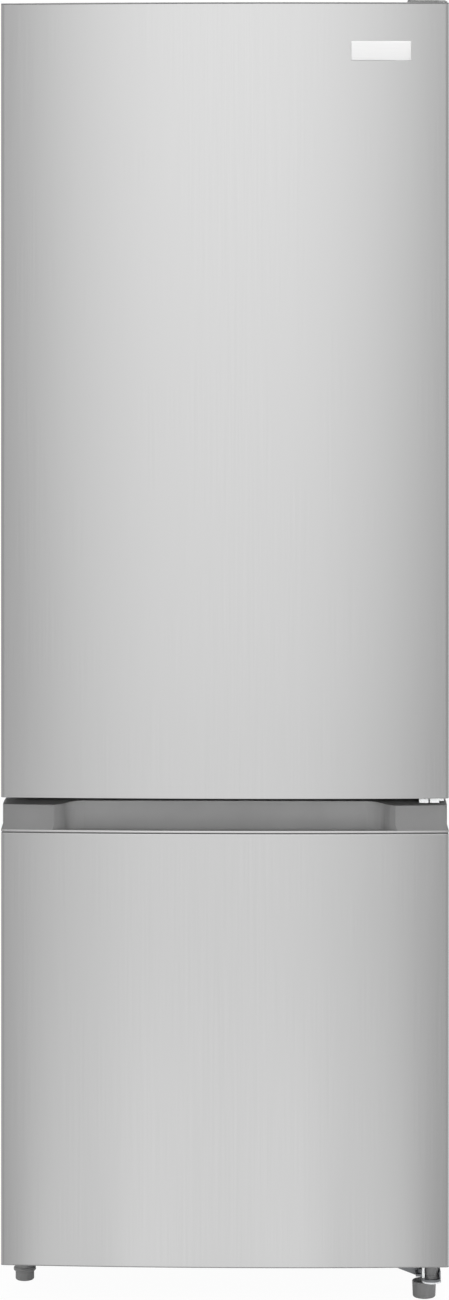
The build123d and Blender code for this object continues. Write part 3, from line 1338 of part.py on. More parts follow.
def grip_cap_fall():
    """The wedge above the top cap, which falls from the pocket's back towards the front."""
    far_y = crown_y - OVERCUT
    slope = GRIP_CAP_TOP_FALL / (pocket_y - door_edge_y)
    low = lower_door_top - slope * (pocket_y - far_y)
    high = lower_door_top + OVERCUT
    x = half_width + OVERCUT
    return bent([(pocket_y, lower_door_top), (far_y, low), (far_y, high), (pocket_y, high)], -x, x)


def grip_cap_hollow():
    """The room inside the top cap's walls."""
    front = GRIP_CAP_RECESS + GRIP_CAP_WALL
    side = GRIP_CAP_SIDE_INSET + GRIP_CAP_WALL
    plan = door_plan(front, side, liner_front_y, DOOR_CORNER)
    return prism(plan, cap_base_z, lower_door_top - GRIP_CAP_WALL - GRIP_CAP_TOP_FALL)


def grip_socket_z():
    """The bottom of the middle pin's socket in the top cap."""
    return middle_plate_z - PIN_LENGTH - PIN_END_GAP


def lower_door_grip_cap():
    """The lower door's top cap, with the grip pocket and the socket of the middle pin."""
    skirt_z = cap_base_z - END_CAP_SKIRT
    inside = grip_cap_form() + door_core(skirt_z, cap_base_z)
    low = lip_top_z - POCKET_CHANNEL - GRIP_CAP_WALL
    walls = prism(pocket_plan(GRIP_CAP_WALL), low, lower_door_top) & inside
    boss = post(BOSS_RADIUS, hinge_x, hinge_y, grip_socket_z() - END_CAP_WALL, lower_door_top)
    cap = grip_cap_form() - grip_cap_hollow() + skirt(skirt_z, cap_base_z) + walls + boss
    return cap - pocket_room() - post(PIN_RADIUS + PIN_FIT, hinge_x, hinge_y, grip_socket_z(), lower_door_top)


def lower_door_skin():
    """The lower door's sheet, from the bottom cap's edge to the grip cap."""
    return door_skin(LOWER_DOOR_BOTTOM + BOTTOM_CAP_EDGE, cap_base_z)


def lower_door_bottom_cap():
    """The lower door's bottom cap: a thin edge under the skin, and the cam over the bottom hinge."""
    z1 = LOWER_DOOR_BOTTOM + END_CAP_PLATE
    socket = LOWER_DOOR_BOTTOM + PIN_LENGTH + PIN_END_GAP
    cam_z = bracket_top_z + BRACKET_RIM_HEIGHT + CAM_GAP
    cap = door_core(LOWER_DOOR_BOTTOM, z1) + skirt(z1, z1 + END_CAP_SKIRT)
    cap += rim(LOWER_DOOR_BOTTOM, LOWER_DOOR_BOTTOM + BOTTOM_CAP_EDGE)
    cap += post(BOSS_RADIUS, hinge_x, hinge_y, z1, socket + END_CAP_WALL)
    cap += post(CAM_RADIUS, hinge_x, hinge_y, cam_z, z1)
    return cap - post(PIN_RADIUS + PIN_FIT, hinge_x, hinge_y, cam_z, socket)


def lower_door_foam():
    """The foam of the lower door."""
    core = door_core(LOWER_DOOR_BOTTOM + END_CAP_PLATE, cap_base_z) + grip_cap_hollow()
    sockets = post(BOSS_RADIUS, hinge_x, hinge_y, LOWER_DOOR_BOTTOM, LOWER_DOOR_BOTTOM + 2 * PIN_LENGTH)
    sockets += post(BOSS_RADIUS, hinge_x, hinge_y, grip_socket_z() - END_CAP_WALL, lower_door_top)
    foam = core + freezer_dyke(DOOR_LINER) - lower_door_grip_cap() - lower_door_bottom_cap()
    return foam - pocket_room() - sockets


def lower_door_liner():
    """The lower door's liner."""
    return liner_plate(LOWER_DOOR_BOTTOM, lower_door_top) + freezer_dyke(0) - freezer_dyke(DOOR_LINER)


def lower_door_gasket():
    """The lower door's gasket."""
    return gasket(LOWER_DOOR_BOTTOM + GASKET_BOTTOM_EDGE, lower_door_top - GASKET_EDGE)


def main():
    """Make every piece and write each to its own file."""
    makers = [
        top_panel, back_panel, bottom_pan, cabinet_foam, fresh_food_liner, freezer_liner, mullion_rail,
        condenser_coils, top_hinge, top_hinge_cover, middle_hinge, bottom_hinge, cabinet_screws,
        compressor_base, power_cord_gland, compressor, compressor_grommets, compressor_terminal_cover,
        refrigerant_pipes, drip_pan, right_front_foot, left_front_foot, roller_axles, shelf_trims,
        crisper_drawer, fresh_food_duct_panel, control_housing, light_lens, temperature_knob,
        freezer_duct_panel, evaporator, evaporator_fan, fan_motor, upper_door_skin, upper_door_top_cap,
        upper_door_bottom_cap, upper_door_foam, upper_door_liner, upper_door_gasket, badge_plate,
        lower_door_skin, lower_door_grip_cap, lower_door_bottom_cap, lower_door_foam, lower_door_liner,
        lower_door_gasket,
    ]
    pieces = {maker.__name__: maker() for maker in makers}
    pieces["side_panel_right"] = side_panel()
    pieces["side_panel_left"] = mirror(side_panel(), about=Plane.YZ)
    pieces["rear_roller_right"] = rear_roller()
    pieces["rear_roller_left"] = mirror(rear_roller(), about=Plane.YZ)
    pieces["crisper_cover_glass"] = shelf_glass(crisper_cover_level)
    for name, level in shelf_levels.items():
        pieces[f"shelf_glass_{name}"] = shelf_glass(level)
    for name in bin_floors:
        pieces[f"door_bin_{name}"] = door_bin(name)
    for name in drawer_floors:
        pieces[f"freezer_drawer_{name}"] = freezer_drawer(name)
    os.makedirs("parts", exist_ok=True)
    for name, piece in pieces.items():
        export_step(piece, f"parts/{name}.step")
        print(name, round(piece.volume))


if __name__ == "__main__":
    main()
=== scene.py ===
import json
import math

import bmesh
import bpy
from mathutils import Matrix, Vector


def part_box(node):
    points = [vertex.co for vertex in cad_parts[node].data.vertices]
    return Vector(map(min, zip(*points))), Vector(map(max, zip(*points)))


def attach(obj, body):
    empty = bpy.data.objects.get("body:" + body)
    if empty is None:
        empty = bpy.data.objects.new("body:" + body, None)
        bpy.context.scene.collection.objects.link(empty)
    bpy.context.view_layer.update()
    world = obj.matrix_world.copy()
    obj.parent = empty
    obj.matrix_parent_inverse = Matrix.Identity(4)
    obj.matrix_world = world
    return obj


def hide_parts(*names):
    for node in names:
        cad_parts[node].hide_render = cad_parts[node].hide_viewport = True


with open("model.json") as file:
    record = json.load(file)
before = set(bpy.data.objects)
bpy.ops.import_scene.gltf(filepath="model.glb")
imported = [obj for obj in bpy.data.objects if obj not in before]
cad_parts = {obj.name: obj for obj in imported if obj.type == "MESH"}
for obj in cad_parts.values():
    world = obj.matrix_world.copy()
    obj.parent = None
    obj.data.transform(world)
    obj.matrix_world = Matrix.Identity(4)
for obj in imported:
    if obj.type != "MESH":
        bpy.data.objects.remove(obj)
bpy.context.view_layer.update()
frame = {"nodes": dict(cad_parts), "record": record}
mm = 0.001
scene = bpy.context.scene
print("frame loaded:", len(frame["nodes"]), "nodes")


# Small helpers

def linear(hexColour):  # sRGB hex to linear RGBA
    parts = [int(hexColour[i:i + 2], 16) / 255 for i in (1, 3, 5)]
    return [c / 12.92 if c <= 0.04045 else ((c + 0.055) / 1.055) ** 2.4 for c in parts] + [1.0]


def perMetre(millimetres):  # pattern scale that repeats about every so many millimetres
    return 1 / (millimetres * mm)


def addNode(tree, kind, links=None, **settings):
    made = tree.nodes.new(kind)
    for key, value in settings.items():
        setattr(made, key, value)
    for socket, source in (links or {}).items():
        if isinstance(source, bpy.types.NodeSocket):
            tree.links.new(source, made.inputs[socket])
        else:
            made.inputs[socket].default_value = source
    return made


def startMaterial(name):
    material = bpy.data.materials.new(name)
    material.use_nodes = True
    material.node_tree.nodes.clear()
    return material, material.node_tree


# The values that a pattern mostly takes, and the share of its finer grain
noise = {"low": 0.3, "high": 0.7, "fineShare": 0.55}


def patternOf(tree, sizes, detail=2.0):  # noise whose grain is so many mm along x, y and z
    place = addNode(tree, "ShaderNodeTexCoord")
    stretch = addNode(tree, "ShaderNodeMapping", {
        "Vector": place.outputs["Object"], "Scale": [perMetre(size) for size in sizes]})
    grain = addNode(tree, "ShaderNodeTexNoise", {
        "Vector": stretch.outputs["Vector"], "Scale": 1.0, "Detail": detail,
        "Roughness": noise["fineShare"]})
    return grain.outputs["Fac"]


def blendColours(tree, pattern, dark, light):
    share = addNode(tree, "ShaderNodeMapRange", {
        "Value": pattern, "From Min": noise["low"], "From Max": noise["high"]})
    blend = addNode(tree, "ShaderNodeMix", {
        0: share.outputs["Result"], 6: linear(dark), 7: linear(light)}, data_type="RGBA")
    return blend.outputs[2]


def grainOf(tree, pattern, rough, bump=None):  # uneven shine and, where there is a bump, relief
    shine = addNode(tree, "ShaderNodeMapRange", {
        "Value": pattern, "From Min": noise["low"], "From Max": noise["high"],
        "To Min": rough[0], "To Max": rough[1]})
    sockets = {"Roughness": shine.outputs["Result"]}
    if bump:
        relief = addNode(tree, "ShaderNodeBump", {
            "Height": pattern, "Strength": bump[0], "Distance": bump[1] * mm})
        sockets["Normal"] = relief.outputs["Normal"]
    return sockets


def finishMaterial(tree, sockets):
    shader = addNode(tree, "ShaderNodeBsdfPrincipled", sockets)
    addNode(tree, "ShaderNodeOutputMaterial", {"Surface": shader.outputs["BSDF"]})


# Materials: grains, streaks and patches in mm, roughness pairs, bumps as strength and height in mm

brushedSteelLook = {"dark": "#DBDBDB", "light": "#DFDFDF", "streak": (0.9, 0.9, 160.0), "detail": 4.0,
                    "rough": (0.155, 0.175), "bump": (0.03, 0.02)}


def brushedSteel():
    # stainless sheet, belt-ground upright and lacquered: fine upright streaks and a wide soft highlight;
    # the streaks are drawn several times coarser than the real grit so that they show
    material, tree = startMaterial("brushed_stainless_sheet")
    streak = patternOf(tree, brushedSteelLook["streak"], brushedSteelLook["detail"])
    finishMaterial(tree, {
        "Base Color": blendColours(tree, streak, brushedSteelLook["dark"], brushedSteelLook["light"]),
        "Metallic": 1.0, **grainOf(tree, streak, brushedSteelLook["rough"], brushedSteelLook["bump"])})
    return material


badgeLook = {"dark": "#D9D9D9", "light": "#DDDDDD", "streak": (40.0, 40.0, 0.5), "detail": 3.0,
             "rough": (0.34, 0.42), "metallic": 0.35}


def satinBadge():
    # anodised aluminium, brushed sideways: a pale plate with hair-fine level lines
    material, tree = startMaterial("brushed_anodised_aluminium")
    streak = patternOf(tree, badgeLook["streak"], badgeLook["detail"])
    finishMaterial(tree, {
        "Base Color": blendColours(tree, streak, badgeLook["dark"], badgeLook["light"]),
        "Metallic": badgeLook["metallic"], **grainOf(tree, streak, badgeLook["rough"])})
    return material


plasticLooks = {
    # door caps, covers and feet
    "grey_plastic": {"name": "grained_grey_ABS", "dark": "#7A7A7A", "light": "#808080", "grain": 0.8,
                     "rough": (0.42, 0.52), "bump": (0.25, 0.03)},
    # soft shine with a slight ripple
    "white_liner": {"name": "vacuum_formed_white_HIPS", "dark": "#EDEFEF", "light": "#F3F4F4",
                    "grain": 6.0, "rough": (0.26, 0.36), "bump": (0.25, 0.012)},
    "shelf_trim": {"name": "moulded_pale_ABS", "dark": "#D9DBDD", "light": "#DFE1E2", "grain": 1.0,
                   "rough": (0.28, 0.36), "bump": (0.25, 0.01)},
    "grey_knob": {"name": "moulded_knob_ABS", "dark": "#9EA0A4", "light": "#A6A8AB", "grain": 0.8,
                  "rough": (0.35, 0.45), "bump": (0.25, 0.02)},
    "black_plastic": {"name": "moulded_black_polypropylene", "dark": "#161617", "light": "#1D1D1F",
                      "grain": 1.2, "rough": (0.45, 0.58), "bump": (0.25, 0.04)},
    "roller_nylon": {"name": "moulded_natural_nylon", "dark": "#CFCDC4", "light": "#DAD8D0", "grain": 2.0,
                     "rough": (0.4, 0.5), "bump": (0.25, 0.03)},
    "gasket_vinyl": {"name": "extruded_grey_vinyl", "dark": "#9A9C9E", "light": "#A2A4A6", "grain": 1.5,
                     "rough": (0.5, 0.6), "bump": (0.25, 0.02)},
    "black_rubber": {"name": "moulded_black_EPDM", "dark": "#121212", "light": "#191919", "grain": 0.9,
                     "rough": (0.65, 0.78), "bump": (0.25, 0.04)},
    "rigid_foam": {"name": "blown_polyurethane_foam", "dark": "#DCC98F", "light": "#EBDCA9", "grain": 1.8,
                   "rough": (0.85, 0.95), "bump": (0.25, 0.3)},
}
moulding = {"detail": 3.0, "patch": 60, "ior": 1.5}  # a patch of one colour is so many grains wide


def mouldedPlastic(look):
    # the mould's spark-eroded grain breaks up the shine, and the colour drifts a little over the surface
    material, tree = startMaterial(look["name"])
    grain = patternOf(tree, [look["grain"]] * 3, moulding["detail"])
    drift = patternOf(tree, [moulding["patch"] * look["grain"]] * 3)
    finishMaterial(tree, {
        "Base Color": blendColours(tree, drift, look["dark"], look["light"]), "IOR": moulding["ior"],
        **grainOf(tree, grain, look["rough"], look["bump"])})
    return material


# The grip cap: colour pairs of its face and its pocket, painted as a darker and a paler copy of one grey
# against the shade of the pocket, and the depth at which one turns to the other (mm)
gripLook = {"face": ("#6E6E6E", "#737373"), "pocket": ("#8F8F8F", "#949494"), "turns": (-318.0, -302.0),
            "grain": 0.8, "patch": 50.0, "rough": (0.42, 0.52), "bump": (0.25, 0.03)}


def gripPlastic():
    # the same grained ABS as the caps, with painted light: the pocket is painted paler than the face to
    # lift the shade in its recess, and the face is painted darker
    material, tree = startMaterial("grained_grey_ABS_painted_light")
    grain = patternOf(tree, [gripLook["grain"]] * 3, moulding["detail"])
    drift = patternOf(tree, [gripLook["patch"]] * 3)
    place = addNode(tree, "ShaderNodeTexCoord")
    axes = addNode(tree, "ShaderNodeSeparateXYZ", {"Vector": place.outputs["Object"]})
    face, pocket = [depth * mm for depth in gripLook["turns"]]
    # painted light: the colour turns paler towards the pocket's depth, against the shade of the recess
    pocketPaintedLight = addNode(tree, "ShaderNodeMapRange", {
        "Value": axes.outputs["Y"], "From Min": face, "From Max": pocket}, interpolation_type="SMOOTHSTEP")
    tone = addNode(tree, "ShaderNodeMix", {
        0: pocketPaintedLight.outputs["Result"], 6: blendColours(tree, drift, *gripLook["face"]),
        7: blendColours(tree, drift, *gripLook["pocket"])}, data_type="RGBA")
    finishMaterial(tree, {
        "Base Color": tone.outputs[2], "IOR": moulding["ior"],
        **grainOf(tree, grain, gripLook["rough"], gripLook["bump"])})
    return material


cabinetPaintLook = {"dark": "#8D8F92", "light": "#919396", "peel": 1.6, "patch": 180.0,
                    "rough": (0.36, 0.48), "bump": (0.35, 0.06), "ior": 1.5}


def coatedSteel():
    # roller-coated steel with a pressed leather grain: a dull even grey with small soft sparkles
    material, tree = startMaterial("embossed_coated_steel")
    peel = patternOf(tree, [cabinetPaintLook["peel"]] * 3)
    drift = patternOf(tree, [cabinetPaintLook["patch"]] * 3)
    finishMaterial(tree, {
        "Base Color": blendColours(tree, drift, cabinetPaintLook["dark"], cabinetPaintLook["light"]),
        "IOR": cabinetPaintLook["ior"],
        **grainOf(tree, peel, cabinetPaintLook["rough"], cabinetPaintLook["bump"])})
    return material


galvanisedLook = {"dark": "#A8ABAE", "light": "#BCBFC2", "spangle": 9.0, "rough": (0.4, 0.46)}


def galvanisedSteel():
    # hot-dipped zinc: flat crystals the size of a thumbnail, each with its own grey and shine
    material, tree = startMaterial("hot_dip_galvanised_steel")
    place = addNode(tree, "ShaderNodeTexCoord")
    crystals = addNode(tree, "ShaderNodeTexVoronoi", {
        "Vector": place.outputs["Object"], "Scale": perMetre(galvanisedLook["spangle"])})
    grey = addNode(tree, "ShaderNodeSeparateColor", {"Color": crystals.outputs["Color"]})
    crystal = addNode(tree, "ShaderNodeMapRange", {
        "Value": grey.outputs["Red"], "To Min": noise["low"], "To Max": noise["high"]}).outputs["Result"]
    finishMaterial(tree, {
        "Base Color": blendColours(tree, crystal, galvanisedLook["dark"], galvanisedLook["light"]),
        "Metallic": 1.0, **grainOf(tree, crystal, galvanisedLook["rough"])})
    return material


metalLooks = {
    # dull silver, slightly clouded
    "zinc_steel": {"name": "zinc_plated_steel", "dark": "#96989B", "light": "#A3A5A8", "cloud": (3, 3, 3),
                   "rough": (0.36, 0.44), "bump": (0.1, 0.01)},
    # warm, tarnished in patches
    "copper_tube": {"name": "drawn_copper_tube", "dark": "#A9653F", "light": "#C98558", "cloud": (9, 9, 9),
                    "rough": (0.22, 0.42), "bump": (0.1, 0.01)},
    # rolled lines along the fins
    "fin_aluminium": {"name": "mill_finish_aluminium", "dark": "#C7C9CB", "light": "#DADBDD",
                      "cloud": (1, 1, 25), "rough": (0.28, 0.4), "bump": (0.1, 0.01)},
}
metalDetail = 3.0


def bareMetal(look):
    # the plating or drawing leaves the shine uneven, so highlights are cloudy
    material, tree = startMaterial(look["name"])
    cloud = patternOf(tree, look["cloud"], metalDetail)
    finishMaterial(tree, {
        "Base Color": blendColours(tree, cloud, look["dark"], look["light"]), "Metallic": 1.0,
        **grainOf(tree, cloud, look["rough"], look["bump"])})
    return material


enamelLook = {"dark": "#101112", "light": "#18191A", "peel": 2.5, "rough": (0.2, 0.3), "bump": (0.3, 0.05),
              "ior": 1.5, "coat": 0.3}


def blackEnamel():
    # thick stoved enamel on the steel can: black, glossy, with orange peel
    material, tree = startMaterial("stoved_black_enamel")
    peel = patternOf(tree, [enamelLook["peel"]] * 3)
    finishMaterial(tree, {
        "Base Color": blendColours(tree, peel, enamelLook["dark"], enamelLook["light"]),
        "IOR": enamelLook["ior"], "Coat Weight": enamelLook["coat"],
        **grainOf(tree, peel, enamelLook["rough"], enamelLook["bump"])})
    return material


# Clear pieces: tint, haze pair, IOR and how much light passes
clearLooks = {
    "clear_plastic": {"name": "moulded_clear_SAN", "tint": "#F6FAFA", "haze": (0.03, 0.1), "ior": 1.49,
                      "passes": 0.88},
    "shelf_glass": {"name": "toughened_float_glass", "tint": "#E4F4EC", "haze": (0.0, 0.02), "ior": 1.52,
                    "passes": 1.0},
    "lamp_lens": {"name": "frosted_polycarbonate", "tint": "#F6F6F2", "haze": (0.45, 0.6), "ior": 1.58,
                  "passes": 0.55},
}
meltFlow = 45.0  # mm from one streak of the melt to the next


def clearPiece(look):
    # light goes through with a faint tint; the haze drifts as the melt flowed
    material, tree = startMaterial(look["name"])
    flow = patternOf(tree, [meltFlow] * 3)
    finishMaterial(tree, {
        "Base Color": linear(look["tint"]), "IOR": look["ior"], "Transmission Weight": look["passes"],
        **grainOf(tree, flow, look["haze"])})
    return material


finishes = {"door_steel": brushedSteel(), "badge_metal": satinBadge(), "cabinet_paint": coatedSteel(),
            "galvanised_sheet": galvanisedSteel(), "compressor_enamel": blackEnamel()}
finishes.update({slot: mouldedPlastic(look) for slot, look in plasticLooks.items()})
finishes.update({slot: bareMetal(look) for slot, look in metalLooks.items()})
finishes.update({slot: clearPiece(look) for slot, look in clearLooks.items()})
ownFinishes = {"lower_door_grip_cap": gripPlastic()}
print("materials made:", len(finishes) + len(ownFinishes))


# Frame nodes: each gets its finish, and all but those in the sharp slots also get welded edges and a small
# round on their corners (mm, degrees)

edgeRounds = {"sheet": 0.3, "plastic": 0.7, "segments": 2, "angle": 35, "weld": 0.01}
sheetSlots = ("zinc_steel", "galvanised_sheet", "cabinet_paint")
sharpSlots = ("door_steel", "rigid_foam", "copper_tube", "fin_aluminium", "badge_metal")


def dressNode(name, slot):
    node = frame["nodes"][name]
    node.data.materials.clear()
    node.data.materials.append(ownFinishes.get(name, finishes[slot]))
    if slot in sharpSlots:
        return
    weld = node.modifiers.new("weld", "WELD")
    weld.merge_threshold = edgeRounds["weld"] * mm
    rounded = node.modifiers.new("round", "BEVEL")
    rounded.width = edgeRounds["sheet" if slot in sheetSlots else "plastic"] * mm
    rounded.segments = edgeRounds["segments"]
    rounded.limit_method = "ANGLE"
    rounded.angle_limit = math.radians(edgeRounds["angle"])
    rounded.use_clamp_overlap = True
    rounded.harden_normals = True


for part in frame["record"]["subparts"]:
    dressNode(part["node"], part["material_slot"])


# New pieces

merging = 0.005 * mm  # points closer than this are one
cornerAngle = 1.0  # radians; an edge that turns more is a corner
facing = 0.9  # a face whose normal has this much of an axis looks that way


def vertsOf(geometry):
    return [item for item in geometry if isinstance(item, bmesh.types.BMVert)]


def edgesOf(geometry):
    return [item for item in geometry if isinstance(item, bmesh.types.BMEdge)]


def closedLoop(bm, points):  # a section's outline as points and edges
    verts = [bm.verts.new(point) for point in points]
    return verts + [bm.edges.new(pair) for pair in zip(verts, verts[1:] + verts[:1])]


def finishPiece(bm, name, body, slot, stands, sharpAngle=35):
    bmesh.ops.remove_doubles(bm, verts=bm.verts, dist=merging)
    bmesh.ops.recalc_face_normals(bm, faces=bm.faces)
    mesh = bpy.data.meshes.new(name)
    bm.to_mesh(mesh)
    bm.free()
    mesh.shade_smooth()
    mesh.set_sharp_from_angle(angle=math.radians(sharpAngle))
    mesh.materials.append(finishes[slot])
    piece = bpy.data.objects.new(name, mesh)
    scene.collection.objects.link(piece)
    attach(piece, body)
    if stands:
        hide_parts(stands)
    return piece


# The doors' bow: an arc across the width, with rounded upright edges
bow = {"halfWidth": 298.25 * mm, "crown": -330.0 * mm, "radius": 4946.3 * mm, "corner": 4.0 * mm,
       "steps": 96, "cornerSteps": 8, "edgeStrip": 0.8 * mm}
bowCentre = bow["crown"] + bow["radius"]
cornerReach = bow["radius"] - bow["corner"]
cornerTurn = math.asin((bow["halfWidth"] - bow["corner"]) / cornerReach)  # where the bow meets its corner


def bowLine(bm, z):  # the plan of a door skin, from one side's rear edge round to the other's
    start = (-bow["radius"] * math.sin(cornerTurn), bowCentre - bow["radius"] * math.cos(cornerTurn), z)
    first = last = bm.verts.new(start)
    strip = bow["edgeStrip"] / bow["radius"]  # narrow strips keep the shading of the corners off the face
    for turn, steps in ((strip, 1), (2 * (cornerTurn - strip), bow["steps"]), (strip, 1)):
        made = bmesh.ops.spin(bm, geom=[last], cent=(0, bowCentre, z), axis=(0, 0, 1), angle=turn,
                              steps=steps)
        last = vertsOf(made["geom_last"])[0]
    ends = []
    middleY = bowCentre - cornerReach * math.cos(cornerTurn)
    for side, corner in ((-1, first), (1, last)):
        middle = (side * (bow["halfWidth"] - bow["corner"]), middleY, z)
        made = bmesh.ops.spin(bm, geom=[corner], cent=middle, axis=(0, 0, side),
                              angle=math.pi / 2 - cornerTurn, steps=bow["cornerSteps"])
        ends.append(vertsOf(made["geom_last"])[0])
    return ends


# The doors' sheet, whose end edges are rolled inwards (mm, degrees)
doorSheet = {"thickness": 1.0, "topRoll": 1.0, "footRoll": 0.3, "rollSteps": 4, "endStrip": 0.8,
             "sharp": 50}


def rollEdge(bm, edges, way, roll, rearY):  # turns the sheet's end edge inwards by a quarter
    for step in range(doorSheet["rollSteps"]):
        turns = [math.pi / 2 * (step + more) / doorSheet["rollSteps"] for more in (0, 1)]
        rise = roll * (math.sin(turns[1]) - math.sin(turns[0]))
        inward = roll * (math.cos(turns[0]) - math.cos(turns[1]))
        grown = bmesh.ops.extrude_edge_only(bm, edges=edges)["geom"]
        verts = vertsOf(grown)
        edges = edgesOf(grown)
        bmesh.ops.scale(bm, verts=verts, vec=(1 - inward / bow["halfWidth"], 1, 1))
        front = [v for v in verts if v.co.y < rearY - roll]
        bmesh.ops.translate(bm, verts=front, vec=(0, inward, 0))
        bmesh.ops.translate(bm, verts=verts, vec=(0, 0, way * rise))


def doorSkin(node, body):
    low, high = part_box(node)
    topRoll, footRoll, strip = [doorSheet[size] * mm for size in ("topRoll", "footRoll", "endStrip")]
    bm = bmesh.new()
    for end in bowLine(bm, low.z + footRoll):
        rear = bmesh.ops.extrude_vert_indiv(bm, verts=[end])["verts"][0]
        rear.co.y = high.y
    plan = top = bm.edges[:]
    for rise in (strip, high.z - low.z - topRoll - footRoll - 2 * strip, strip):
        up = bmesh.ops.extrude_edge_only(bm, edges=top)["geom"]
        bmesh.ops.translate(bm, verts=vertsOf(up), vec=(0, 0, rise))
        top = edgesOf(up)
    rollEdge(bm, top, 1, topRoll, high.y)
    rollEdge(bm, plan, -1, footRoll, high.y)
    skin = finishPiece(bm, node.replace("_skin", "_sheet"), body, "door_steel", node, doorSheet["sharp"])
    wall = skin.modifiers.new("sheet", "SOLIDIFY")
    wall.thickness = doorSheet["thickness"] * mm
    wall.offset = -1


doorSkin("upper_door_skin", "upper_door")
doorSkin("lower_door_skin", "lower_door")
print("door skins made")


# A slim steel strip along the foot of the grip pocket: rise and stand-out of its section (mm)
gripTrim = {"start": 1.3, "sharp": 60,
            "section": [(0.0, -1.2), (0.15, -0.1), (0.6, 0.25), (2.3, 0.25), (2.85, -0.1), (3.0, -1.2)]}


def trimStrip():
    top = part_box("lower_door_skin")[1].z
    bm = bmesh.new()
    firstRise = gripTrim["section"][0][0]
    bowLine(bm, top + (gripTrim["start"] + firstRise) * mm)
    verts, edges = bm.verts[:], bm.edges[:]
    lastRise, lastOut = firstRise, 0.0
    for rise, out in gripTrim["section"]:
        if rise > firstRise:
            grown = bmesh.ops.extrude_edge_only(bm, edges=edges)["geom"]
            verts, edges = vertsOf(grown), edgesOf(grown)
        more = (out - lastOut) * mm
        bmesh.ops.scale(bm, verts=verts, vec=(1 + more / bow["halfWidth"], 1, 1))
        bmesh.ops.translate(bm, verts=verts, vec=(0, -more, (rise - lastRise) * mm))
        lastRise, lastOut = rise, out
    finishPiece(bm, "grip_trim", "lower_door", "door_steel", None, gripTrim["sharp"])


trimStrip()
print("grip trim made")


# White sleeves over the middle hinge's door stop and tip, and a white strip on the bottom hinge's cheek
# that is a painted highlight on its steel edge: lowest and highest corner of each (mm)
hingeSleevesAndCheekHighlight = {"boxes": [((258.7, -315.8, 669.6), (271.3, -306.5, 675.2)),
                          ((273.2, -315.6, 672.5), (291.8, -306.5, 675.9)),
                          ((273.2, -315.4, 669.7), (285.8, -306.5, 673.0)),
                          # a pale strip on the bottom hinge's cheek: a painted highlight on the steel's
                          # edge
                          ((263.3, -305.2, 34.0), (266.7, -300.0, 51.0))],
                "round": 0.6, "segments": 3, "panel": 1.1, "dish": 0.3}


def oneSleeve(low, high):  # a box open at the rear, with a dished front and rounded corners
    box = bmesh.new()
    bmesh.ops.create_cube(box, size=1.0)
    bmesh.ops.scale(box, verts=box.verts, vec=high - low)
    bmesh.ops.translate(box, verts=box.verts, vec=(low + high) / 2)
    box.normal_update()
    front = [f for f in box.faces if f.normal.y < -facing]
    bmesh.ops.inset_region(box, faces=front, thickness=hingeSleevesAndCheekHighlight["panel"] * mm,
                           depth=-hingeSleevesAndCheekHighlight["dish"] * mm)
    rear = [f for f in box.faces if f.normal.y > facing]
    bmesh.ops.delete(box, geom=rear, context="FACES")
    edges = [e for e in box.edges if not e.is_boundary and e.calc_face_angle(0) > cornerAngle]
    bmesh.ops.bevel(box, geom=edges, offset=hingeSleevesAndCheekHighlight["round"] * mm, affect="EDGES",
                    segments=hingeSleevesAndCheekHighlight["segments"], profile=0.5, material=-1)
    return box


def sleevesAndCheekHighlight():
    bm = bmesh.new()
    for corners in hingeSleevesAndCheekHighlight["boxes"]:
        box = oneSleeve(*[Vector(corner) * mm for corner in corners])
        sleeve = bpy.data.meshes.new("sleeve")
        box.to_mesh(sleeve)
        box.free()
        bm.from_mesh(sleeve)
        bpy.data.meshes.remove(sleeve)
    finishPiece(bm, "hinge_sleeves_and_cheek_highlight", "cabinet", "white_liner", None)


sleevesAndCheekHighlight()
print("hinge sleeves made")


# A pale strip round the cut edge of the bottom hinge's tongue, a painted highlight on that edge:
# the tongue's plan, and how far aside and how high the strip's section goes (mm)
tongueEdgeHighlight = {"left": 264.0, "right": 288.0, "tip": -316.0, "corner": 11.4, "steps": 12,
             "section": [(0.1, 29.3), (-0.5, 29.3), (-0.7, 29.6), (-0.7, 31.0), (-0.5, 31.3), (0.1, 31.3)]}


def tongueHighlightStrip():
    bm = bmesh.new()
    left, right, tip, corner = [tongueEdgeHighlight[size] * mm for size in ("left", "right", "tip", "corner")]
    y = tip + corner
    loop = closedLoop(bm, [(left + aside * mm, y, height * mm) for aside, height in tongueEdgeHighlight["section"]])
    quarter = {"axis": (0, 0, 1), "angle": math.pi / 2, "steps": tongueEdgeHighlight["steps"]}
    turned = bmesh.ops.spin(bm, geom=loop, cent=(left + corner, y, 0), **quarter)["geom_last"]
    straight = bmesh.ops.extrude_edge_only(bm, edges=edgesOf(turned))["geom"]
    bmesh.ops.translate(bm, verts=vertsOf(straight), vec=(right - left - 2 * corner, 0, 0))
    loop = vertsOf(straight) + edgesOf(straight)
    bmesh.ops.spin(bm, geom=loop, cent=(right - corner, y, 0), **quarter)
    bmesh.ops.holes_fill(bm, edges=[e for e in bm.edges if e.is_boundary], sides=0)
    # painted highlight: a pale strip stands in for the light caught by the tongue's steel edge
    finishPiece(bm, "tongue_painted_highlight", "cabinet", "shelf_trim", None)


tongueHighlightStrip()
print("bracket guard made")


# A flanged bush on the bottom hinge's pin: radius and height of its section (mm)
pinBush = {"axis": (276.0, -295.0), "steps": 48,
           "section": [(4.05, 32.5), (9.6, 32.5), (9.9, 32.8), (9.9, 34.0), (9.6, 34.3), (8.9, 34.4),
                       (8.7, 34.7), (8.7, 36.8), (8.3, 37.3), (4.05, 37.3)]}


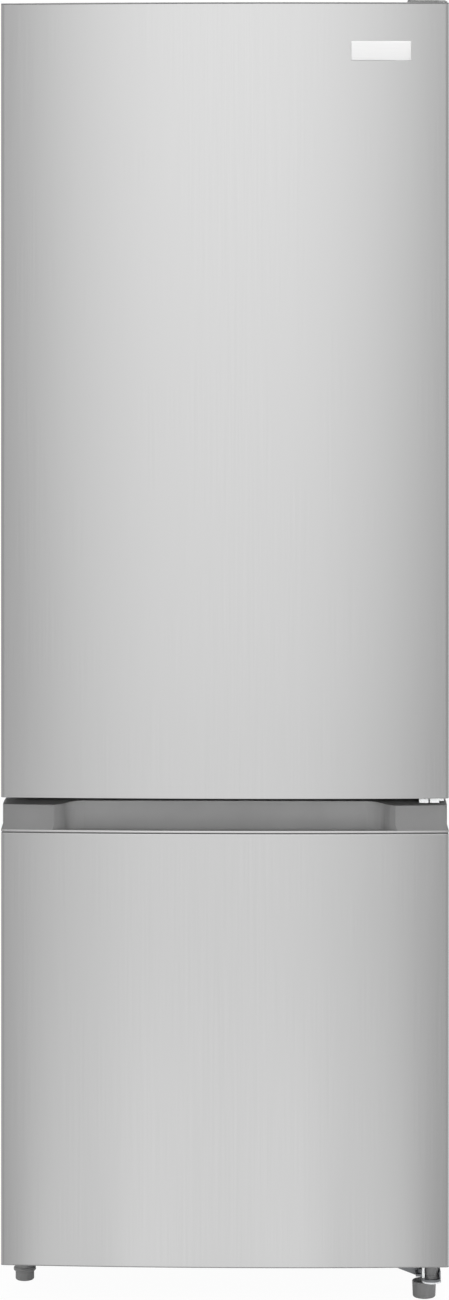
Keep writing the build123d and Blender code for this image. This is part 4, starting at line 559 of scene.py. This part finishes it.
def hingeBush():
    bm = bmesh.new()
    x, y = [place * mm for place in pinBush["axis"]]
    loop = closedLoop(bm, [(x + radius * mm, y, height * mm) for radius, height in pinBush["section"]])
    bmesh.ops.spin(bm, geom=loop, cent=(x, y, 0), axis=(0, 0, 1), angle=2 * math.pi,
                   steps=pinBush["steps"], use_merge=True)
    finishPiece(bm, "hinge_bush", "cabinet", "grey_plastic", None)


hingeBush()
print("hinge bush made")


# A plain plate that follows the bow: its ends sideways and its bevelled front (mm)
badge = {"left": 168.0, "right": 248.0, "thickness": 1.6, "bevel": 1.3, "segments": 3, "steps": 16,
         "frontBand": 0.2}


def badgePlate():
    low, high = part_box("badge_plate")
    bm = bmesh.new()
    turns = [math.asin(badge[end] * mm / bow["radius"]) for end in ("left", "right")]
    depth = badge["thickness"] * mm
    face = bow["radius"] + depth
    first = bm.verts.new((face * math.sin(turns[0]), bowCentre - face * math.cos(turns[0]), low.z))
    bmesh.ops.spin(bm, geom=[first], cent=(0, bowCentre, 0), axis=(0, 0, 1), angle=turns[1] - turns[0],
                   steps=badge["steps"])
    up = bmesh.ops.extrude_edge_only(bm, edges=bm.edges[:])["geom"]
    bmesh.ops.translate(bm, verts=vertsOf(up), vec=(0, 0, high.z - low.z))
    bmesh.ops.recalc_face_normals(bm, faces=bm.faces)
    rim = bmesh.ops.extrude_face_region(bm, geom=bm.faces[:])["geom"]
    bmesh.ops.translate(bm, verts=vertsOf(rim), vec=(0, depth, 0))
    bmesh.ops.recalc_face_normals(bm, faces=bm.faces)
    frontY = bowCentre - face * math.cos(turns[1]) + badge["frontBand"] * mm  # just behind the front edges
    corners = [e for e in bm.edges if e.calc_face_angle(0) > cornerAngle]
    edges = [e for e in corners if all(v.co.y < frontY for v in e.verts)]
    bmesh.ops.bevel(bm, geom=edges, offset=badge["bevel"] * mm, affect="EDGES", segments=badge["segments"],
                    profile=0.5, material=-1)
    finishPiece(bm, "blank_badge", "upper_door", "badge_metal", "badge_plate")


badgePlate()
print("badge made")


# Door gaskets: the section runs inwards from the outer edge (mm) and back from the door (mm)
gasket = {"sharp": 60,
          "section": [(0, 0), (0, 2.2), (2.4, 3.0), (3.4, 4.4), (2.0, 5.8), (1.2, 7.4), (1.2, 10.4),
                      (2.2, 11.7), (10.4, 11.7), (11.6, 10.5), (11.6, 8.2), (10.2, 6.6), (10.8, 4.8),
                      (11.8, 3.0), (14, 2.2), (14, 0)]}


def doorGasket(node, body):
    low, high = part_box(node)
    bm = bmesh.new()
    places = [(high.x - inward * mm, low.y + back * mm, high.z - inward * mm)
              for inward, back in gasket["section"]]
    edges = edgesOf(closedLoop(bm, places))
    middle = Matrix.Translation((0, 0, -(low.z + high.z) / 2))
    for flip in ((-1, 1, 1), (1, 1, -1), (-1, 1, 1), (1, 1, -1)):  # once round the four corners
        grown = bmesh.ops.extrude_edge_only(bm, edges=edges)["geom"]
        bmesh.ops.scale(bm, verts=vertsOf(grown), vec=flip, space=middle)
        edges = edgesOf(grown)
    finishPiece(bm, node.replace("gasket", "seal"), body, "gasket_vinyl", node, gasket["sharp"])


doorGasket("upper_door_gasket", "upper_door")
doorGasket("lower_door_gasket", "lower_door")
print("gaskets made")


# Hex washer-head screws: places of the heads' undersides (mm) and the way they face
hingeScrews = {"washer": 4.5, "washerHeight": 0.7, "washerTaper": 0.4, "washerSides": 32,
               "hex": 3.3, "hexHeight": 1.9, "chamfer": 0.35, "chamferSteps": 2, "sharp": 30,
               "up": [(270.0, -240.0, 1733.0), (270.0, -206.0, 1733.0), (270.0, -172.0, 1733.0)],
               "front": [(227.5, -259.0, 672.8), (243.5, -259.0, 672.8),
                         (232.0, -259.0, 72.0), (280.0, -259.0, 72.0)]}


def screwHead(bm, seat):
    washer, taper, hexagon = [hingeScrews[size] * mm for size in ("washer", "washerTaper", "hex")]
    thick, tall = [hingeScrews[size] * mm for size in ("washerHeight", "hexHeight")]
    bmesh.ops.create_cone(bm, cap_ends=True, segments=hingeScrews["washerSides"], radius1=washer,
                          radius2=washer - taper, depth=thick,
                          matrix=seat @ Matrix.Translation((0, 0, thick / 2)))
    head = bmesh.ops.create_cone(bm, cap_ends=True, segments=6, radius1=hexagon, radius2=hexagon,
                                 depth=tall,
                                 matrix=seat @ Matrix.Translation((0, 0, (tall + thick) / 2)))
    edges = {e for v in head["verts"] for e in v.link_edges}
    bmesh.ops.bevel(bm, geom=list(edges), offset=hingeScrews["chamfer"] * mm, affect="EDGES",
                    segments=hingeScrews["chamferSteps"], profile=0.5, material=-1)


def screwSet():
    bm = bmesh.new()
    for way, tilt in (("up", 0.0), ("front", math.pi / 2)):
        for place in hingeScrews[way]:
            screwHead(bm, Matrix.Translation(Vector(place) * mm) @ Matrix.Rotation(tilt, 4, "X"))
    finishPiece(bm, "hinge_screws", "cabinet", "zinc_steel", "cabinet_screws", hingeScrews["sharp"])


screwSet()
print("screws made")


# Stage, lamps, world and camera

# The studio: levels by the turn away from straight ahead (degrees), and by height (degrees and factor)
studio = {"levels": [(0.0, 0.96), (3.5, 1.0), (4.6, 0.985), (5.3, 0.89), (8.0, 0.86), (9.0, 0.79),
                     (10.0, 0.57), (11.0, 0.38), (13.0, 0.34), (18.0, 0.42), (172.0, 0.42),
                     (176.0, 1.0)],
          "below": (-9.0, 0.87), "above": (7.0, 1.1), "overhead": 0.95, "overheadEdge": (0.5, 0.85),
          "lean": (0.012, -0.0142)}


def levelsByTurn(tree, turn, stops):  # grey levels by an angle
    share = addNode(tree, "ShaderNodeMath", {0: turn, 1: math.pi}, operation="DIVIDE")
    ramp = addNode(tree, "ShaderNodeValToRGB", {"Fac": share.outputs[0]})
    points = ramp.color_ramp.elements
    while len(points) < len(stops):
        points.new(0.5)
    for point, (degrees, level) in zip(points, stops):
        point.position = degrees / 180
        point.color = (level, level, level, 1.0)
    return ramp.outputs["Color"]


def turnOf(tree, sideways, ahead, lean):  # angle away from straight ahead, the same to both sides
    shift = addNode(tree, "ShaderNodeMath", {0: ahead, 1: lean}, operation="MULTIPLY")
    aside = addNode(tree, "ShaderNodeMath", {0: sideways, 1: shift.outputs[0]}, operation="SUBTRACT")
    width = addNode(tree, "ShaderNodeMath", {0: aside.outputs[0]}, operation="ABSOLUTE")
    return addNode(tree, "ShaderNodeMath", {0: width.outputs[0], 1: ahead}, operation="ARCTAN2").outputs[0]


def buildWorld():
    world = bpy.data.worlds.new("studio")
    scene.world = world
    world.use_nodes = True
    tree = world.node_tree
    tree.nodes.clear()
    way = addNode(tree, "ShaderNodeTexCoord")
    axes = addNode(tree, "ShaderNodeSeparateXYZ", {"Vector": way.outputs["Generated"]}).outputs
    forward = addNode(tree, "ShaderNodeMath", {0: axes["Y"], 1: -1.0}, operation="MULTIPLY")
    lean = addNode(tree, "ShaderNodeMath", {0: axes["Z"], 1: studio["lean"][0], 2: studio["lean"][1]},
                   operation="MULTIPLY_ADD")
    turn = turnOf(tree, axes["X"], forward.outputs[0], lean.outputs[0])
    around = levelsByTurn(tree, turn, studio["levels"])
    rise = addNode(tree, "ShaderNodeMath", {0: axes["Z"]}, operation="ARCSINE")
    (lowest, lowLevel), (highest, highLevel) = studio["below"], studio["above"]
    height = addNode(tree, "ShaderNodeMapRange", {
        "Value": rise.outputs[0], "From Min": math.radians(lowest), "From Max": math.radians(highest),
        "To Min": lowLevel, "To Max": highLevel})
    walls = addNode(tree, "ShaderNodeMath", {0: around, 1: height.outputs["Result"]}, operation="MULTIPLY")
    start, end = studio["overheadEdge"]
    lift = addNode(tree, "ShaderNodeMapRange", {"Value": axes["Z"], "From Min": start, "From Max": end},
                   interpolation_type="SMOOTHSTEP")
    level = addNode(tree, "ShaderNodeMix", {
        0: lift.outputs["Result"], 2: walls.outputs[0], 3: studio["overhead"]})
    rays = addNode(tree, "ShaderNodeLightPath").outputs
    seen = addNode(tree, "ShaderNodeMath", {0: rays["Is Camera Ray"], 1: rays["Is Transmission Ray"]},
                   operation="MAXIMUM")
    shown = addNode(tree, "ShaderNodeMix", {0: seen.outputs[0], 2: level.outputs[0], 3: 1.0})
    sky = addNode(tree, "ShaderNodeBackground", {"Color": shown.outputs[0], "Strength": 1.0})
    addNode(tree, "ShaderNodeOutputWorld", {"Surface": sky.outputs["Background"]})


# The floor shows plain white; what reflections see of it is painted: a painted shadow under the object
# and painted light that grades off as the studio does (metres, and levels by degrees)
floorLook = {"colour": "#F1F1F1", "size": 14.0, "white": 0.96, "focus": 1.23, "lean": -0.0232,
             "middle": 0.03, "front": (-0.4, -0.5), "under": 0.5, "dim": (-1.4, -3.4, 0.95),
             "levels": [(0.0, 0.85), (3.5, 0.875), (4.6, 0.86), (5.3, 0.775), (8.0, 0.745), (9.0, 0.69),
                        (10.0, 0.51), (11.0, 0.37), (13.0, 0.35), (18.0, 0.42), (180.0, 0.42)]}


def floorPaper():
    material, tree = startMaterial("studio_floor")
    place = addNode(tree, "ShaderNodeTexCoord")
    axes = addNode(tree, "ShaderNodeSeparateXYZ", {"Vector": place.outputs["Object"]}).outputs
    ahead = addNode(tree, "ShaderNodeMath", {0: floorLook["focus"], 1: axes["Y"]}, operation="SUBTRACT")
    side = addNode(tree, "ShaderNodeMath", {0: axes["X"], 1: floorLook["middle"]}, operation="SUBTRACT")
    turn = turnOf(tree, side.outputs[0], ahead.outputs[0], floorLook["lean"])
    around = levelsByTurn(tree, turn, floorLook["levels"])
    near, far, farLevel = floorLook["dim"]
    distant = addNode(tree, "ShaderNodeMapRange", {
        "Value": axes["Y"], "From Min": near, "From Max": far, "To Min": 1.0, "To Max": farLevel})
    graded = addNode(tree, "ShaderNodeMath", {0: around, 1: distant.outputs["Result"]},
                     operation="MULTIPLY")
    start, end = floorLook["front"]
    soft = addNode(tree, "ShaderNodeMapRange", {"Value": axes["Y"], "From Min": start, "From Max": end},
                   interpolation_type="SMOOTHSTEP")
    # painted shadow under the object, blended into the painted light of the graded levels
    paintedReflection = addNode(tree, "ShaderNodeMix", {
        0: soft.outputs["Result"], 2: floorLook["under"], 3: graded.outputs[0]})
    paper = addNode(tree, "ShaderNodeBsdfDiffuse", {"Color": linear(floorLook["colour"])})
    rays = addNode(tree, "ShaderNodeLightPath").outputs
    seen = addNode(tree, "ShaderNodeMath", {0: rays["Is Camera Ray"], 1: rays["Is Transmission Ray"]},
                   operation="MAXIMUM")
    shown = addNode(tree, "ShaderNodeMix", {0: seen.outputs[0], 2: paintedReflection.outputs[0], 3: 1.0})
    glow = addNode(tree, "ShaderNodeEmission", {"Color": shown.outputs[0], "Strength": 1.0})
    mirrored = addNode(tree, "ShaderNodeMath", {0: seen.outputs[0], 1: rays["Is Glossy Ray"]},
                       operation="MAXIMUM")
    share = addNode(tree, "ShaderNodeMath", {0: mirrored.outputs[0], 1: floorLook["white"]},
                    operation="MULTIPLY")
    mixed = addNode(tree, "ShaderNodeMixShader", {
        0: share.outputs[0], 1: paper.outputs[0], 2: glow.outputs[0]})
    addNode(tree, "ShaderNodeOutputMaterial", {"Surface": mixed.outputs[0]})
    return material


def buildFloor():
    bm = bmesh.new()
    bmesh.ops.create_grid(bm, x_segments=1, y_segments=1, size=floorLook["size"] / 2)
    mesh = bpy.data.meshes.new("floor")
    bm.to_mesh(mesh)
    bm.free()
    mesh.materials.append(floorPaper())
    floor = bpy.data.objects.new("floor", mesh)
    scene.collection.objects.link(floor)


# Soft lamps (metres, watts); the steel shows the studio's walls and not the lamps
lamps = {"front": {"place": (0.1, -5.6, 1.2), "aim": (0, -0.3, 0.7), "size": (1.6, 1.2), "power": 72},
         "key": {"place": (-3.4, -2.5, 1.4), "aim": (0, -0.3, 0.7), "size": (1.8, 1.8), "power": 26},
         "fill": {"place": (3.4, -2.5, 1.4), "aim": (0, -0.3, 0.7), "size": (1.8, 1.8), "power": 26},
         "top": {"place": (0.2, -0.8, 3.6), "aim": (0.1, -0.3, 1.75), "size": (1.2, 1.2), "power": 52},
         "rear": {"place": (0.6, 3.4, 3.0), "aim": (0, 0.2, 0.8), "size": (2.4, 1.6), "power": 60}}


def buildLamps():
    for name, lamp in lamps.items():
        light = bpy.data.lights.new(name, "AREA")
        light.shape = "RECTANGLE"
        light.size, light.size_y = lamp["size"]
        light.energy = lamp["power"]
        holder = bpy.data.objects.new(name, light)
        holder.location = lamp["place"]
        way = Vector(lamp["aim"]) - Vector(lamp["place"])
        holder.rotation_euler = way.to_track_quat("-Z", "Y").to_euler()
        holder.visible_glossy = False
        scene.collection.objects.link(holder)


# The eye stands a little to the right of the middle and looks level; the picture is shifted down
view = {"place": (0.0836, -4.6842, 1.25), "turn": 1.1, "lens": 90.8, "shift": (0.0, -0.2177)}


def buildCamera():
    camera = bpy.data.objects.new("camera", bpy.data.cameras.new("camera"))
    camera.data.lens = view["lens"]
    camera.data.shift_x, camera.data.shift_y = view["shift"]
    camera.location = view["place"]
    camera.rotation_euler = (math.pi / 2, 0, math.radians(view["turn"]))
    scene.collection.objects.link(camera)
    scene.camera = camera


buildWorld()
buildFloor()
buildLamps()
buildCamera()
scene.view_settings.view_transform = "Standard"
print("stage, lamps and camera set")
